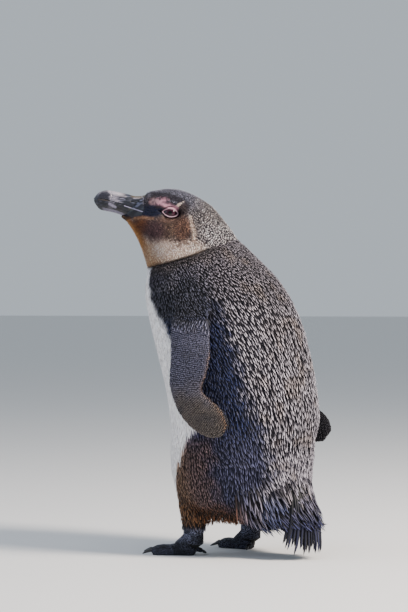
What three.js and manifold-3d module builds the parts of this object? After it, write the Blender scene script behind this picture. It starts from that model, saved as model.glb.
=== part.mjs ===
// A life-size juvenile African penguin, standing still with its head turned to its left.
// Units are millimetres. +Z is up, the breast faces -Y and the bird's own left is +X.
import * as THREE from "three";
import { ParametricGeometry } from "three/addons/geometries/ParametricGeometry.js";
import { mergeVertices } from "three/addons/utils/BufferGeometryUtils.js";
import Module from "manifold-3d";

const wasm = await Module();
wasm.setup();

// ---------------------------------------------------------------- driving dimensions
const GAP = 0.35; // clearance between neighbouring pieces
const NECK_AXIS_Y = -50; // the upright line that the head and neck turn about
const HEAD_TURN = 35; // degrees to the bird's left

const EYE = { forward: 45, height: 409, aside: 19.5, radius: 8, dishRadius: 15, standsOut: 3 };
const FOLD = { spread: 0.34, leftDepth: 4, rightDepth: 2.5, least: 0.25, deepestAt: -20 };
const FLIPPER = { rootThickness: 10.6, tipThickness: 5.3, trailingThinner: 0.35, sides: 14, steps: 18 };
const RIGHT_FLIPPER = { lower: 15, back: 8, swing: -0.3 }; // how the right one hangs against the left
const LEG = { top: 96, bottom: 25, lean: 3, thigh: [27, 30], shin: [12.5, 14] };
const FOOT = { toeOut: 12, toeRadius: 5.6, ankleRadius: 10, ankleHeight: 42, webHeight: 3.4, webShare: 0.93 };
const FOOT_PLACE = { left: { x: 45, y: -39 }, right: { x: -45, y: -17 } };
const TAIL = { quills: 9, notch: 9, sides: 44, steps: 10 };

// Cross-sections of head, neck and trunk, from the bill to the vent. Each one says how far it is
// turned to the left in degrees, where its upper (back) and lower (front) edges are as
// [distance forward of the neck axis, height], its half width, and how square it is (2 is an ellipse).
const SECTIONS = [
  { at: "face", turn: 35, back: [84, 420], front: [90, 414], halfWidth: 0, square: 2 },
  { at: "bill_root", turn: 35, back: [74, 431], front: [101, 404.5], halfWidth: 10.5, square: 2 },
  { at: "forehead", turn: 35, back: [62, 436], front: [97, 399], halfWidth: 16, square: 2 },
  { at: "lores", turn: 35, back: [51, 439], front: [93, 392.5], halfWidth: 21, square: 2 },
  { at: "eye", turn: 35, back: [36, 440], front: [88, 384.5], halfWidth: 25.5, square: 2.1 },
  { at: "cheek", turn: 35, back: [20, 436.5], front: [83, 374.5], halfWidth: 29.5, square: 2.1 },
  { at: "hind_crown", turn: 35, back: [4.5, 427.5], front: [79, 364], halfWidth: 34, square: 2.1 },
  { at: "upper_nape", turn: 35, back: [-10, 413.5], front: [76, 354], halfWidth: 40, square: 2.1 },
  { at: "nape", turn: 33, back: [-23, 397.5], front: [74.5, 345.5], halfWidth: 47, square: 2.1 },
  { at: "neck_fold", turn: 27, back: [-36, 380.5], front: [74, 340.5], halfWidth: 54, square: 2.1 },
  { at: "collar", turn: 14, back: [-51, 365], front: [76, 331], halfWidth: 65, square: 2.1 },
  { at: "shoulder", turn: 3, back: [-78, 338], front: [77, 313], halfWidth: 76, square: 2.15 },
  { at: "upper_back", turn: 0, back: [-104, 302], front: [71, 290], halfWidth: 83, square: 2.15 },
  { at: "back", turn: 0, back: [-124, 252], front: [57, 247], halfWidth: 88, square: 2.15 },
  { at: "saddle", turn: 0, back: [-137, 200], front: [42, 200], halfWidth: 90, square: 2.1 },
  { at: "belly", turn: 0, back: [-141, 152], front: [34, 155], halfWidth: 90, square: 2.1 },
  { at: "low_belly", turn: 0, back: [-137, 110], front: [36, 110], halfWidth: 87, square: 2.1 },
  { at: "hips", turn: 0, back: [-132, 78], front: [30, 76], halfWidth: 79, square: 2.1 },
  { at: "thigh", turn: 0, back: [-118, 58], front: [16, 56], halfWidth: 65, square: 2.1 },
  { at: "crotch", turn: 0, back: [-92, 46], front: [-14, 46], halfWidth: 40, square: 2 },
  { at: "vent", turn: 0, back: [-55, 43], front: [-50, 43], halfWidth: 0, square: 2 },
];
const BODY_SIDES = 32;
const BODY_STEPS = 42;

// ---------------------------------------------------------------- colours
const COLOURS = {
  slate: { color: 0x55535e, roughness: 0.85 },
  cheek: { color: 0x5e4c48, roughness: 0.85 },
  horn: { color: 0x2b2a31, roughness: 0.4 },
  eye: { color: 0x24151c, roughness: 0.08 },
  flipper: { color: 0x4b4a54, roughness: 0.7 },
  scale: { color: 0x2c2d36, roughness: 0.6 },
  claw: { color: 0x17161a, roughness: 0.4 },
  quill: { color: 0x2b2a36, roughness: 0.6 },
};

// ---------------------------------------------------------------- helpers
const lerp = THREE.MathUtils.lerp;
const radians = THREE.MathUtils.degToRad;
const V = (x, y, z) => new THREE.Vector3(x, y, z);

// A closed surface from a function of (u round, v along) that meets itself at u = 0 and 1
// and shrinks to a point at v = 0 and 1.
function closedSurface(pointAt, sides, steps) {
  const geometry = new ParametricGeometry((u, v, target) => target.copy(pointAt(u, v)), sides, steps);
  return merged(geometry);
}

function merged(geometry) {
  const bare = geometry.clone();
  bare.deleteAttribute("normal");
  bare.deleteAttribute("uv");
  return mergeVertices(bare, 1e-3);
}

// The same closed surface with every vertex moved outwards.
function grown(geometry, distance) {
  const larger = geometry.clone();
  larger.computeVertexNormals();
  const position = larger.attributes.position;
  const normal = larger.attributes.normal;
  for (let i = 0; i < position.count; i++)
    position.setXYZ(
      i,
      position.getX(i) + distance * normal.getX(i),
      position.getY(i) + distance * normal.getY(i),
      position.getZ(i) + distance * normal.getZ(i),
    );
  larger.deleteAttribute("normal");
  return larger;
}

function solid(geometry) {
  const shape = new wasm.Manifold(
    new wasm.Mesh({
      numProp: 3,
      vertProperties: new Float32Array(geometry.attributes.position.array),
      triVerts: new Uint32Array(geometry.index.array),
    }),
  );
  if (shape.volume() > 0) return shape;
  const turned = geometry.clone();
  const index = turned.index.array;
  for (let i = 0; i < index.length; i += 3) [index[i + 1], index[i + 2]] = [index[i + 2], index[i + 1]];
  return solid(turned);
}

function geometryOf(shape) {
  const mesh = shape.getMesh();
  return new THREE.BufferGeometry()
    .setAttribute("position", new THREE.BufferAttribute(new Float32Array(mesh.vertProperties), 3))
    .setIndex(new THREE.BufferAttribute(new Uint32Array(mesh.triVerts), 1));
}

// The piece of a cut solid that matters: the one with the most volume.
function largest(shape) {
  return shape.decompose().sort((a, b) => b.volume() - a.volume())[0];
}

// The solid grown by the clearance, to cut a neighbour with.
const clearanceOf = (shape) => solid(grown(geometryOf(shape), GAP));
const cutFrom = (shape, ...neighbours) =>
  largest(neighbours.reduce((left, other) => left.subtract(clearanceOf(other)), shape));

// How full a rounded end is at share v of the length, where cap is the share that the rounding takes.
function endRounding(v, capStart, capEnd) {
  const start = Math.min(1, v / capStart);
  const end = Math.min(1, (1 - v) / capEnd);
  return Math.sqrt(Math.max(0, 1 - (1 - start) ** 2)) * Math.sqrt(Math.max(0, 1 - (1 - end) ** 2));
}

// A point on a superellipse: cosine and sine with their magnitude raised to a power.
const power = (value, exponent) => Math.sign(value) * Math.abs(value) ** exponent;

// ---------------------------------------------------------------- head, neck and trunk
function turned([forward, height], turn) {
  const a = radians(turn);
  return V(forward * Math.sin(a), NECK_AXIS_Y - forward * Math.cos(a), height);
}
const backLine = new THREE.CatmullRomCurve3(SECTIONS.map((s) => turned(s.back, s.turn)));
const frontLine = new THREE.CatmullRomCurve3(SECTIONS.map((s) => turned(s.front, s.turn)));
const sectionSizes = new THREE.CatmullRomCurve3(SECTIONS.map((s) => V(s.halfWidth, s.square, s.turn)));

// The share of the whole length at which a named section lies.
const shareOf = (name) => SECTIONS.findIndex((s) => s.at === name) / (SECTIONS.length - 1);

// The neck feathers overhang the shoulder in a fold, deepest at the sides and most on the left.
function foldDepth(v, angle) {
  const away = (v - shareOf("neck_fold")) * (SECTIONS.length - 1);
  const groove = Math.exp(-((away / FOLD.spread) ** 2));
  const towardsSide = Math.cos(angle - radians(FOLD.deepestAt)) ** 2;
  const depth = Math.cos(angle) > 0 ? FOLD.leftDepth : FOLD.rightDepth;
  return depth * groove * lerp(FOLD.least, 1, towardsSide);
}

function bodyPoint(u, v) {
  const angle = 2 * Math.PI * u;
  const back = backLine.getPoint(v);
  const front = frontLine.getPoint(v);
  const size = sectionSizes.getPoint(v);
  const centre = back.clone().add(front).multiplyScalar(0.5);
  const rise = back.clone().sub(front).multiplyScalar(0.5);
  const left = V(Math.cos(radians(size.z)), Math.sin(radians(size.z)), 0);
  const across = power(Math.cos(angle), 2 / size.y);
  const along = power(Math.sin(angle), 2 / size.y);
  const width = Math.max(0, size.x);
  const reach = Math.max(1, Math.hypot(across * width, along * rise.length()));
  const shrink = 1 - foldDepth(v, angle) / reach;
  return centre
    .addScaledVector(left, across * width * shrink)
    .addScaledVector(rise, along * shrink);
}
const body = solid(closedSurface(bodyPoint, BODY_SIDES, BODY_STEPS));

// The plane of a named section, as a unit normal towards the bill and its distance from the origin.
function sectionPlane(v) {
  const back = backLine.getPoint(v);
  const front = frontLine.getPoint(v);
  const turn = radians(sectionSizes.getPoint(v).z);
  const normal = back.clone().sub(front).cross(V(Math.cos(turn), Math.sin(turn), 0)).normalize();
  if (normal.dot(backLine.getTangent(v)) > 0) normal.negate();
  return { normal: normal.toArray(), distance: normal.dot(back) };
}
function partBetween(shape, upper, lower) {
  let part = shape;
  if (lower !== null) {
    const { normal, distance } = sectionPlane(lower);
    part = part.trimByPlane(normal, distance + GAP / 2);
  }
  if (upper !== null) {
    const { normal, distance } = sectionPlane(upper);
    part = part.trimByPlane(normal.map((n) => -n), -distance + GAP / 2);
  }
  return largest(part);
}
const headEnd = shareOf("upper_nape");
const neckEnd = shareOf("neck_fold");
let head = partBetween(body, null, headEnd);
const neck = partBetween(body, headEnd, neckEnd);
const trunk = partBetween(body, neckEnd, null);

// ---------------------------------------------------------------- eyes
// A point of the head: forward of the neck axis, to the left of the head's middle, and up.
function headPoint(forward, aside, height) {
  const a = radians(HEAD_TURN);
  return turned([forward, height], HEAD_TURN).add(V(aside * Math.cos(a), aside * Math.sin(a), 0));
}
function ball(centre, radius, sides, steps) {
  const sphere = new THREE.SphereGeometry(radius, sides, steps);
  return solid(merged(sphere.translate(centre.x, centre.y, centre.z)));
}
const eyeBall = (side) => ball(headPoint(EYE.forward, side * EYE.aside, EYE.height), EYE.radius, 12, 8);
const eyes = [1, -1].map(eyeBall);
// The face is dished round each eye, so that the eye stands out of the bottom of the dish.
for (const side of [1, -1]) {
  const aside = side * (EYE.aside + EYE.radius + EYE.dishRadius - EYE.standsOut);
  const dish = ball(headPoint(EYE.forward, aside, EYE.height), EYE.dishRadius, 14, 10);
  head = largest(head.subtract(dish));
}
for (const eye of eyes) head = cutFrom(head, eye);

// ---------------------------------------------------------------- bill
// Upper edge of the bill, the line of the mouth and the lower edge, as [forward, height],
// and the half width that goes with each, from the face to the tip.
const CULMEN = [
  [64, 430], [74, 431], [87, 430.5], [99, 432], [111, 434.5], [121, 436.5], [128.5, 435.5], [133, 432],
];
const MOUTH = [
  [64, 408.5], [74, 411], [87, 415.2], [99, 419], [111, 423], [121, 426], [128.5, 427.5], [133, 427.8],
];
const GONYS = [
  [64, 403], [74, 402.5], [87, 402], [99, 404.5], [111, 410.5], [121, 414.5], [127.5, 418], [132, 422.5],
];
const BILL_HALF_WIDTH = [11.5, 11, 10, 8.8, 7.8, 7.2, 5.6, 3];
const BILL_START = [60, 417];
const BILL_TIP = { upper: [137, 426.5], lower: [134.5, 425.8] };
const BILL_END = { from: 0.94, fullness: 0.72, reach: 1.4 };
const BILL_SIDES = 14;
const BILL_STEPS = 12;

const profile = (points) => new THREE.CatmullRomCurve3(points.map(([forward, up]) => V(forward, 0, up)));
const billWidths = new THREE.CatmullRomCurve3(BILL_HALF_WIDTH.map((w) => V(w, 0, 0)));

// Half of the bill: the outer profile arches over (or under) the flat face at the line of the mouth.
function billHalf(outer, [tipForward, tipHeight], apart) {
  const outerLine = profile(outer);
  const mouthLine = profile(MOUTH);
  const pointAt = (u, v) => {
    if (v === 0) return headPoint(BILL_START[0], 0, BILL_START[1]);
    if (v === 1) return headPoint(tipForward, 0, tipHeight + apart);
    const angle = 2 * Math.PI * u;
    const t = Math.min(1, Math.max(0, v - 0.04) / 0.9);
    const atEnd = v > BILL_END.from;
    const fullness = atEnd ? BILL_END.fullness : 1;
    const edge = outerLine.getPoint(t);
    const seam = mouthLine.getPoint(t);
    const width = billWidths.getPoint(t).x * fullness;
    const rise = Math.max(0, Math.sin(angle)) ** 0.72;
    const forward = lerp(seam.x, edge.x, rise) + (atEnd ? BILL_END.reach : 0);
    const height = lerp(seam.z + apart, edge.z, rise * fullness);
    return headPoint(forward, width * power(Math.cos(angle), 0.85), height);
  };
  return solid(closedSurface(pointAt, BILL_SIDES, BILL_STEPS));
}
const billUpper = cutFrom(billHalf(CULMEN, BILL_TIP.upper, GAP / 2), head);
const billLower = cutFrom(billHalf(GONYS, BILL_TIP.lower, -GAP / 2), head, billUpper);

// ---------------------------------------------------------------- flippers
// The flipper hangs from the shoulder and bends back at the wrist. Each station gives the distance
// out from the midline, the leading and trailing edge distances along Y, and the height.
const FLIPPER_STATIONS = [
  { out: 60, lead: -36, trail: 6, height: 314 },
  { out: 76, lead: -40, trail: 12, height: 299 },
  { out: 93, lead: -37, trail: 18, height: 280 },
  { out: 101, lead: -33, trail: 25, height: 256 },
  { out: 105, lead: -30, trail: 27, height: 236 },
  { out: 107, lead: -31, trail: 22, height: 214 },
  { out: 108, lead: -27, trail: 17, height: 198, drop: 8 },
  { out: 108, lead: -14, trail: 33, height: 179, drop: 20 },
  { out: 107, lead: 4, trail: 48, height: 165, drop: 23 },
  { out: 106, lead: 21, trail: 55, height: 155, drop: 18 },
  { out: 105, lead: 33, trail: 53, height: 146, drop: 10 },
];
function flipperSolid() {
  const edge = (which) =>
    new THREE.CatmullRomCurve3(
      FLIPPER_STATIONS.map(({ out, lead, trail, height, drop = 0 }) =>
        which === "lead" ? V(out, lead, height - drop / 2) : V(out, trail, height + drop / 2),
      ),
    );
  const leading = edge("lead");
  const trailing = edge("trail");
  const pointAt = (u, v) => {
    const angle = 2 * Math.PI * u;
    const lead = leading.getPoint(v);
    const trail = trailing.getPoint(v);
    const full = endRounding(v, 0.08, 0.1);
    const middle = lead.clone().add(trail).multiplyScalar(0.5);
    const half = trail.clone().sub(lead).multiplyScalar(0.5 * full);
    const out = half.clone().cross(V(0, 0, -1)).normalize();
    const share = Math.cos(angle);
    const thinner = 1 - FLIPPER.trailingThinner * share;
    const thickness = lerp(FLIPPER.rootThickness, FLIPPER.tipThickness, v) * thinner;
    return middle
      .addScaledVector(half, share)
      .addScaledVector(out, (thickness / 2) * full * Math.sin(angle));
  };
  return solid(closedSurface(pointAt, FLIPPER.sides, FLIPPER.steps));
}
const flipperLeft = cutFrom(flipperSolid(), trunk);
const RIGHT_SHOULDER = [-70, 0, 300];
const flipperRight = cutFrom(
  flipperSolid()
    .mirror([1, 0, 0])
    .translate(RIGHT_SHOULDER.map((n) => -n))
    .rotate([0, RIGHT_FLIPPER.swing, 0])
    .translate(RIGHT_SHOULDER)
    .translate([0, RIGHT_FLIPPER.back, -RIGHT_FLIPPER.lower]),
  trunk,
);

// ---------------------------------------------------------------- tail
// Stiff tail feathers in an arched fan under the long feathers of the rump. Each station gives the
// height, how far back the fan's outer and inner faces are at its middle, its half width and its arch.
const TAIL_STATIONS = [
  { height: 112, outer: 76, inner: 20, halfWidth: 30, arch: 8 },
  { height: 92, outer: 85, inner: 26, halfWidth: 36, arch: 13 },
  { height: 72, outer: 96, inner: 42, halfWidth: 38, arch: 17 },
  { height: 54, outer: 103, inner: 62, halfWidth: 38, arch: 20 },
  { height: 36, outer: 106.5, inner: 80, halfWidth: 37, arch: 22 },
  { height: 18, outer: 108, inner: 94, halfWidth: 37, arch: 23 },
  { height: -4, outer: 106, inner: 97, halfWidth: 36, arch: 24 },
];
function tailSolid() {
  const faces = new THREE.CatmullRomCurve3(TAIL_STATIONS.map((s) => V(s.outer, s.inner, s.height)));
  const spread = new THREE.CatmullRomCurve3(TAIL_STATIONS.map((s) => V(s.halfWidth, s.arch, 0)));
  const pointAt = (u, v) => {
    const angle = 2 * Math.PI * u;
    const share = Math.round(1e6 * Math.cos(angle)) / 1e6;
    const full = endRounding(v, 0.12, 0.06); // at both ends the outer face meets the inner one
    const face = faces.getPoint(v);
    const { x: halfWidth, y: arch } = spread.getPoint(v);
    const half = ((face.x - face.y) / 2) * full;
    const quill = Math.abs(2 * ((((share + 1) / 2) * TAIL.quills) % 1) - 1);
    const notch = Math.max(0, (v - 0.85) / 0.15) * TAIL.notch * quill;
    const y = (face.x + face.y) / 2 + half * Math.sin(angle) - arch * share * share;
    return V(halfWidth * share, y, face.z + notch);
  };
  return solid(closedSurface(pointAt, TAIL.sides, TAIL.steps));
}

// ---------------------------------------------------------------- legs and feet
// A tapering tube with rounded ends, sized across X and Y at each share of its length.
function limb(centreAt, halfSizeAt, sides, steps, capStart = 0.15, capEnd = 0.15) {
  const pointAt = (u, v) => {
    const angle = 2 * Math.PI * u;
    const full = endRounding(v, capStart, capEnd);
    const [across, along] = halfSizeAt(v);
    const direction = centreAt(Math.min(1, v + 0.01)).sub(centreAt(Math.max(0, v - 0.01))).normalize();
    const side = Math.abs(direction.z) > 0.8 ? V(1, 0, 0) : V(-direction.y, direction.x, 0).normalize();
    const other = side.clone().cross(direction).normalize();
    return centreAt(v)
      .addScaledVector(side, across * full * Math.cos(angle))
      .addScaledVector(other, along * full * Math.sin(angle));
  };
  return solid(closedSurface(pointAt, sides, steps));
}

// The feathered leg, from inside the trunk down to the ankle.
const legSolid = ({ x, y }) =>
  limb(
    (v) => V(x, lerp(y + LEG.lean, y, v), lerp(LEG.top, LEG.bottom, v)),
    (v) => [0, 1].map((axis) => lerp(LEG.thigh[axis], LEG.shin[axis], v ** 0.8)),
    16, 7, 0.2, 0.06,
  );

const TOES = [
  { name: "inner", splay: -21, length: 47 },
  { name: "middle", splay: 0, length: 57 },
  { name: "outer", splay: 20, length: 53 },
];
const HIND_TOE = { splay: -118, length: 15, radius: 2.8 };
const CLAW = { length: 13, radius: 2.7, hindLength: 6, tipHeight: 0.9 };

// A direction on the floor, splayed from the foot's own heading towards the bird's outer side.
function heading(side, splay) {
  const a = radians(FOOT.toeOut + splay) * side;
  return V(Math.sin(a), -Math.cos(a), 0);
}

function toeSolid(ankle, direction, length) {
  const knuckles = (v) => 1 + 0.09 * Math.cos(2 * Math.PI * 3 * v);
  const radius = (v) => lerp(FOOT.ankleRadius - 1, FOOT.toeRadius, Math.min(1, v * 1.5)) * knuckles(v);
  return limb(
    (v) => ankle.clone().addScaledVector(direction, lerp(-4, length, v)).setZ(radius(v) * 0.92),
    (v) => [radius(v) * 0.95, radius(v)],
    8, 7, 0.12, 0.12,
  );
}

// The web fills the angle between two toes, with a front edge that curves in.
function webSolid(ankle, side, inner, outer) {
  const outline = new THREE.Shape();
  const at = (toe, share) => heading(side, toe.splay).multiplyScalar(toe.length * share).add(ankle);
  const [a, b] = [inner, outer].map((toe) => at(toe, FOOT.webShare));
  const dip = a.clone().add(b).multiplyScalar(0.5).lerp(ankle, 0.2);
  outline.moveTo(ankle.x, ankle.y);
  outline.lineTo(a.x, a.y);
  outline.quadraticCurveTo(dip.x, dip.y, b.x, b.y);
  outline.closePath();
  const options = { depth: FOOT.webHeight, bevelEnabled: false, curveSegments: 5 };
  return solid(merged(new THREE.ExtrudeGeometry(outline, options).translate(0, 0, -0.5)));
}

function footSolid({ x, y }, side) {
  const ankle = V(x, y, 0);
  const shank = limb(
    (v) => V(x, lerp(y, y - 1, v), lerp(FOOT.ankleHeight, FOOT.toeRadius, v)),
    (v) => [lerp(9, FOOT.ankleRadius, v), lerp(12.5, 13, v)],
    12, 4, 0.1, 0.2,
  );
  const instep = limb(
    (v) => ankle.clone().addScaledVector(heading(side, 0), lerp(2, 24, v)).setZ(lerp(22, 6, v)),
    (v) => [lerp(9.5, 12, v), lerp(9, 6, v)],
    10, 4, 0.2, 0.25,
  );
  const toes = TOES.map((toe) => toeSolid(ankle, heading(side, toe.splay), toe.length));
  const hindHeading = heading(side, HIND_TOE.splay);
  const hind = limb(
    (v) => ankle.clone().addScaledVector(hindHeading, lerp(2, HIND_TOE.length, v)).setZ(lerp(8, 4, v)),
    () => [HIND_TOE.radius, HIND_TOE.radius],
    6, 3, 0.2, 0.25,
  );
  const webs = [webSolid(ankle, side, TOES[0], TOES[1]), webSolid(ankle, side, TOES[1], TOES[2])];
  const whole = [instep, ...toes, hind, ...webs].reduce((joined, piece) => joined.add(piece), shank);
  return whole.trimByPlane([0, 0, 1], 0);
}

// A claw curves forward and down from the end of its toe, to a point just clear of the floor.
function clawSolid(ankle, direction, reach, length, startHeight) {
  const heightAt = (v) => lerp(startHeight, CLAW.tipHeight, v ** 1.7);
  return limb(
    (v) => ankle.clone().addScaledVector(direction, reach + length * v).setZ(heightAt(v)),
    (v) => [CLAW.radius * lerp(1, 0.25, v), CLAW.radius * lerp(1.1, 0.25, v)],
    7, 4, 0.2, 0.1,
  );
}

// ---------------------------------------------------------------- the bird
const pieces = {
  trunk: [trunk, COLOURS.slate],
  neck: [neck, COLOURS.slate],
  head: [head, COLOURS.cheek],
  bill_upper: [billUpper, COLOURS.horn],
  bill_lower: [billLower, COLOURS.horn],
  eye_left: [eyes[0], COLOURS.eye],
  eye_right: [eyes[1], COLOURS.eye],
  flipper_left: [flipperLeft, COLOURS.flipper],
  flipper_right: [flipperRight, COLOURS.flipper],
  tail: [cutFrom(tailSolid(), trunk).trimByPlane([0, 0, 1], 0), COLOURS.quill],
};
for (const [side, sign] of [["left", 1], ["right", -1]]) {
  const place = FOOT_PLACE[side];
  const ankle = V(place.x, place.y, 0);
  const leg = cutFrom(legSolid(place), trunk);
  const foot = cutFrom(footSolid(place, sign), leg);
  pieces[`leg_${side}`] = [leg, COLOURS.slate];
  pieces[`foot_${side}`] = [foot, COLOURS.scale];
  for (const toe of TOES) {
    const claw = clawSolid(ankle, heading(sign, toe.splay), toe.length - 3, CLAW.length, FOOT.toeRadius);
    pieces[`claw_${side}_${toe.name}`] = [cutFrom(claw, foot), COLOURS.claw];
  }
  const hindClaw = clawSolid(ankle, heading(sign, HIND_TOE.splay), HIND_TOE.length - 1, CLAW.hindLength, 3.6);
  pieces[`claw_${side}_hind`] = [cutFrom(hindClaw, foot), COLOURS.claw];
}

const bird = new THREE.Group();
for (const [name, [shape, finish]] of Object.entries(pieces)) {
  const mesh = new THREE.Mesh(geometryOf(shape), new THREE.MeshStandardMaterial(finish));
  mesh.name = name;
  bird.add(mesh);
}

// The origin is on the floor, under the middle of the whole bird.
const bounds = new THREE.Box3().setFromObject(bird);
const middle = bounds.getCenter(V(0, 0, 0));
bird.position.set(-middle.x, -middle.y, -bounds.min.z);

export default bird;
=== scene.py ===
# %% [markdown]
# # A life-size juvenile African penguin
# The bird stands with its neck drawn in and its head turned to its left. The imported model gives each
# part's size and place. This script covers that form with one skin, seats the eyes and the bill in it,
# and grows a coat of small stiff feathers over it. Lengths are in metres unless a name says _mm.

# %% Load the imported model
import math

import bpy
import numpy as np
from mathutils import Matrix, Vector
from mathutils.bvhtree import BVHTree


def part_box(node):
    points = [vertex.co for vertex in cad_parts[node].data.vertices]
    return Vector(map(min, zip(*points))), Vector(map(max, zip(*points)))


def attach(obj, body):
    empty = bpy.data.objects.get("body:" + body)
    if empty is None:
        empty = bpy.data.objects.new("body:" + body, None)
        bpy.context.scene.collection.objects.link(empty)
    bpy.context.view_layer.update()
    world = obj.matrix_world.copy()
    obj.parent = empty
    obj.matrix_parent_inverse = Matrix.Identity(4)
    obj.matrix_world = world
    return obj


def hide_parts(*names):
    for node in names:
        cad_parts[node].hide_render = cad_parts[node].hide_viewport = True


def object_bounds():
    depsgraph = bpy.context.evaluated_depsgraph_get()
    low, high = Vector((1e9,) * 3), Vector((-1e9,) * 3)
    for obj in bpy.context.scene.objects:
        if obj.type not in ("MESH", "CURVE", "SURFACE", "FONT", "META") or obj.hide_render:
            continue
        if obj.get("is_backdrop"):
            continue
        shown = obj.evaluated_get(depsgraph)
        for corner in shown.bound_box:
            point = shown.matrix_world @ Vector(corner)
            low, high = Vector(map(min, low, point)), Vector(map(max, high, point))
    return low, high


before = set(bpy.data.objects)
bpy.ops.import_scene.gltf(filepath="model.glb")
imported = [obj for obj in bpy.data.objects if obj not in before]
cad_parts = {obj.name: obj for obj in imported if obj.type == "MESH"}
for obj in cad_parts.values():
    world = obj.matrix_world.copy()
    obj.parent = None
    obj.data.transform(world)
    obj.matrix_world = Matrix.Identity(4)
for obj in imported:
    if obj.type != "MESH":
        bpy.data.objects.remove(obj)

cad_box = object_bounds()
print("the packed model's box:", [[round(c, 4) for c in corner] for corner in cad_box])

# %% [markdown]
# ## Two frames of reference
# Markings are easiest to place in frames that belong to the bird: the trunk has an upright axis, and the
# head has its own, turned 35 degrees. Both are worked out in millimetres from the trunk's box.

# %% The frames of the trunk and the head
MM = 0.001
HEAD_TURN = math.radians(35)
NECK_AXIS_Y_MM = -50  # the head turns about an upright line this far in front of the trunk's middle
TRUNK_BACK_MM = 90.8  # the trunk reaches this far behind its own middle

trunk_low, trunk_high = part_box("trunk")
BODY_ORIGIN = np.array([(trunk_low[0] + trunk_high[0]) / 2, trunk_high[1] - TRUNK_BACK_MM * MM, 0])


def body_mm(points):
    """Points in the trunk's frame: x to the bird's left, y towards its back, z up, in millimetres."""
    return (np.asarray(points) - BODY_ORIGIN) / MM


def head_mm(points):
    """Points in the head's frame: forward, aside (to its left) and up, in millimetres."""
    x, y, z = body_mm(points).T
    y = y - NECK_AXIS_Y_MM
    sine, cosine = math.sin(HEAD_TURN), math.cos(HEAD_TURN)
    return np.stack([x * sine - y * cosine, x * cosine + y * sine, z], axis=1)


def from_head_mm(forward, aside, up):
    """The point of the model that the head's frame gives."""
    sine, cosine = math.sin(HEAD_TURN), math.cos(HEAD_TURN)
    x = forward * sine + aside * cosine
    y = NECK_AXIS_Y_MM - forward * cosine + aside * sine
    return np.stack([x, y, np.broadcast_to(up, np.shape(x))], axis=-1) * MM + BODY_ORIGIN


NECK_TURN = math.radians(27)
FOLD_FORWARD_MM = [-36, -26, -4, 13, 38, 67, 74]
FOLD_HEIGHT_MM = [378, 372.7, 364, 357, 350, 344.4, 343]


def above_fold(points):
    """How far a point lies above the fold where the drawn-in neck sits on the shoulders, in mm."""
    x, y, z = body_mm(points).T
    forward = x * math.sin(NECK_TURN) - (y - NECK_AXIS_Y_MM) * math.cos(NECK_TURN)
    return z - np.interp(forward, FOLD_FORWARD_MM, FOLD_HEIGHT_MM)


AXIS_HEIGHTS_MM = [60, 110, 155, 200, 250, 296, 325, 350, 380]
AXIS_Y_MM = [1, 1, 3, -3, -17, -34, -50, -64, -76]  # the trunk leans forward as it rises


def round_body(points):
    """How far round the trunk a point lies, in degrees: 0 at the breast, 90 at the sides, 180 behind."""
    x, y, z = body_mm(points).T
    return np.degrees(np.arctan2(np.abs(x), -(y - np.interp(z, AXIS_HEIGHTS_MM, AXIS_Y_MM))))


print("the trunk's middle stands at", BODY_ORIGIN.round(4).tolist())

# %% [markdown]
# ## Small helpers
# An operator works on everything that is selected, so each step first selects one object alone. Colours
# are written as they look on a screen and turned to linear light by one function.

# %% Selection, colours and soft steps
def select_only(*objects):
    bpy.ops.object.select_all(action="DESELECT")
    for obj in objects:
        obj.select_set(True)
    bpy.context.view_layer.objects.active = objects[0]


def linear(colour):
    """A hex sRGB colour as linear red, green and blue."""
    channels = np.array([(colour >> shift & 255) / 255 for shift in (16, 8, 0)])
    return np.where(channels <= 0.04045, channels / 12.92, ((channels + 0.055) / 1.055) ** 2.4)


def rgba(colour):
    """The same colour with the fourth number that a shader socket takes."""
    return (*linear(colour), 1)


def smooth(low, high, value):
    """0 below low, 1 above high and an even S between; low may be the larger."""
    share = np.clip((value - low) / (high - low), 0, 1)
    return share * share * (3 - 2 * share)


def unit(vectors):
    return vectors / np.maximum(np.linalg.norm(vectors, axis=-1, keepdims=True), 1e-12)


def cloudy(points, size_mm, seed=0):
    """Soft random patches between -1 and 1: lattice values blended smoothly, size_mm apart."""
    place = np.asarray(points) / (size_mm * MM) + 100.37 * (seed + 1)
    cell = np.floor(place).astype(np.int64)
    share = place - cell
    share = share * share * (3 - 2 * share)
    total = np.zeros(len(place))
    for corner in range(8):
        step = np.array([corner & 1, corner >> 1 & 1, corner >> 2 & 1])
        mixed = ((cell + step) * np.array([73856093, 19349663, 83492791])).sum(axis=1) + 7919 * seed
        mixed = (mixed ^ (mixed >> 13)) * 1274126177 & 0x7FFFFFFF
        weight = np.prod(np.where(step, share, 1 - share), axis=1)
        total += weight * (mixed % 20011 / 10005.5 - 1)
    return total


# %% Nodes and materials
def add_node(material, kind, values=None, links=None, **settings):
    """A new shader node with its settings, its unlinked input values and its incoming links."""
    node = material.node_tree.nodes.new(kind)
    for name, value in settings.items():
        setattr(node, name, value)
    for name, value in (values or {}).items():
        node.inputs[name].default_value = value
    for name, source in (links or {}).items():
        material.node_tree.links.new(source, node.inputs[name])
    return node


def new_material(name):
    """An empty material and its Principled shader, linked to the output."""
    material = bpy.data.materials.new(name)
    material.use_nodes = True
    shader = material.node_tree.nodes["Principled BSDF"]
    return material, shader


def link(material, source, target):
    material.node_tree.links.new(source, target)


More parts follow.
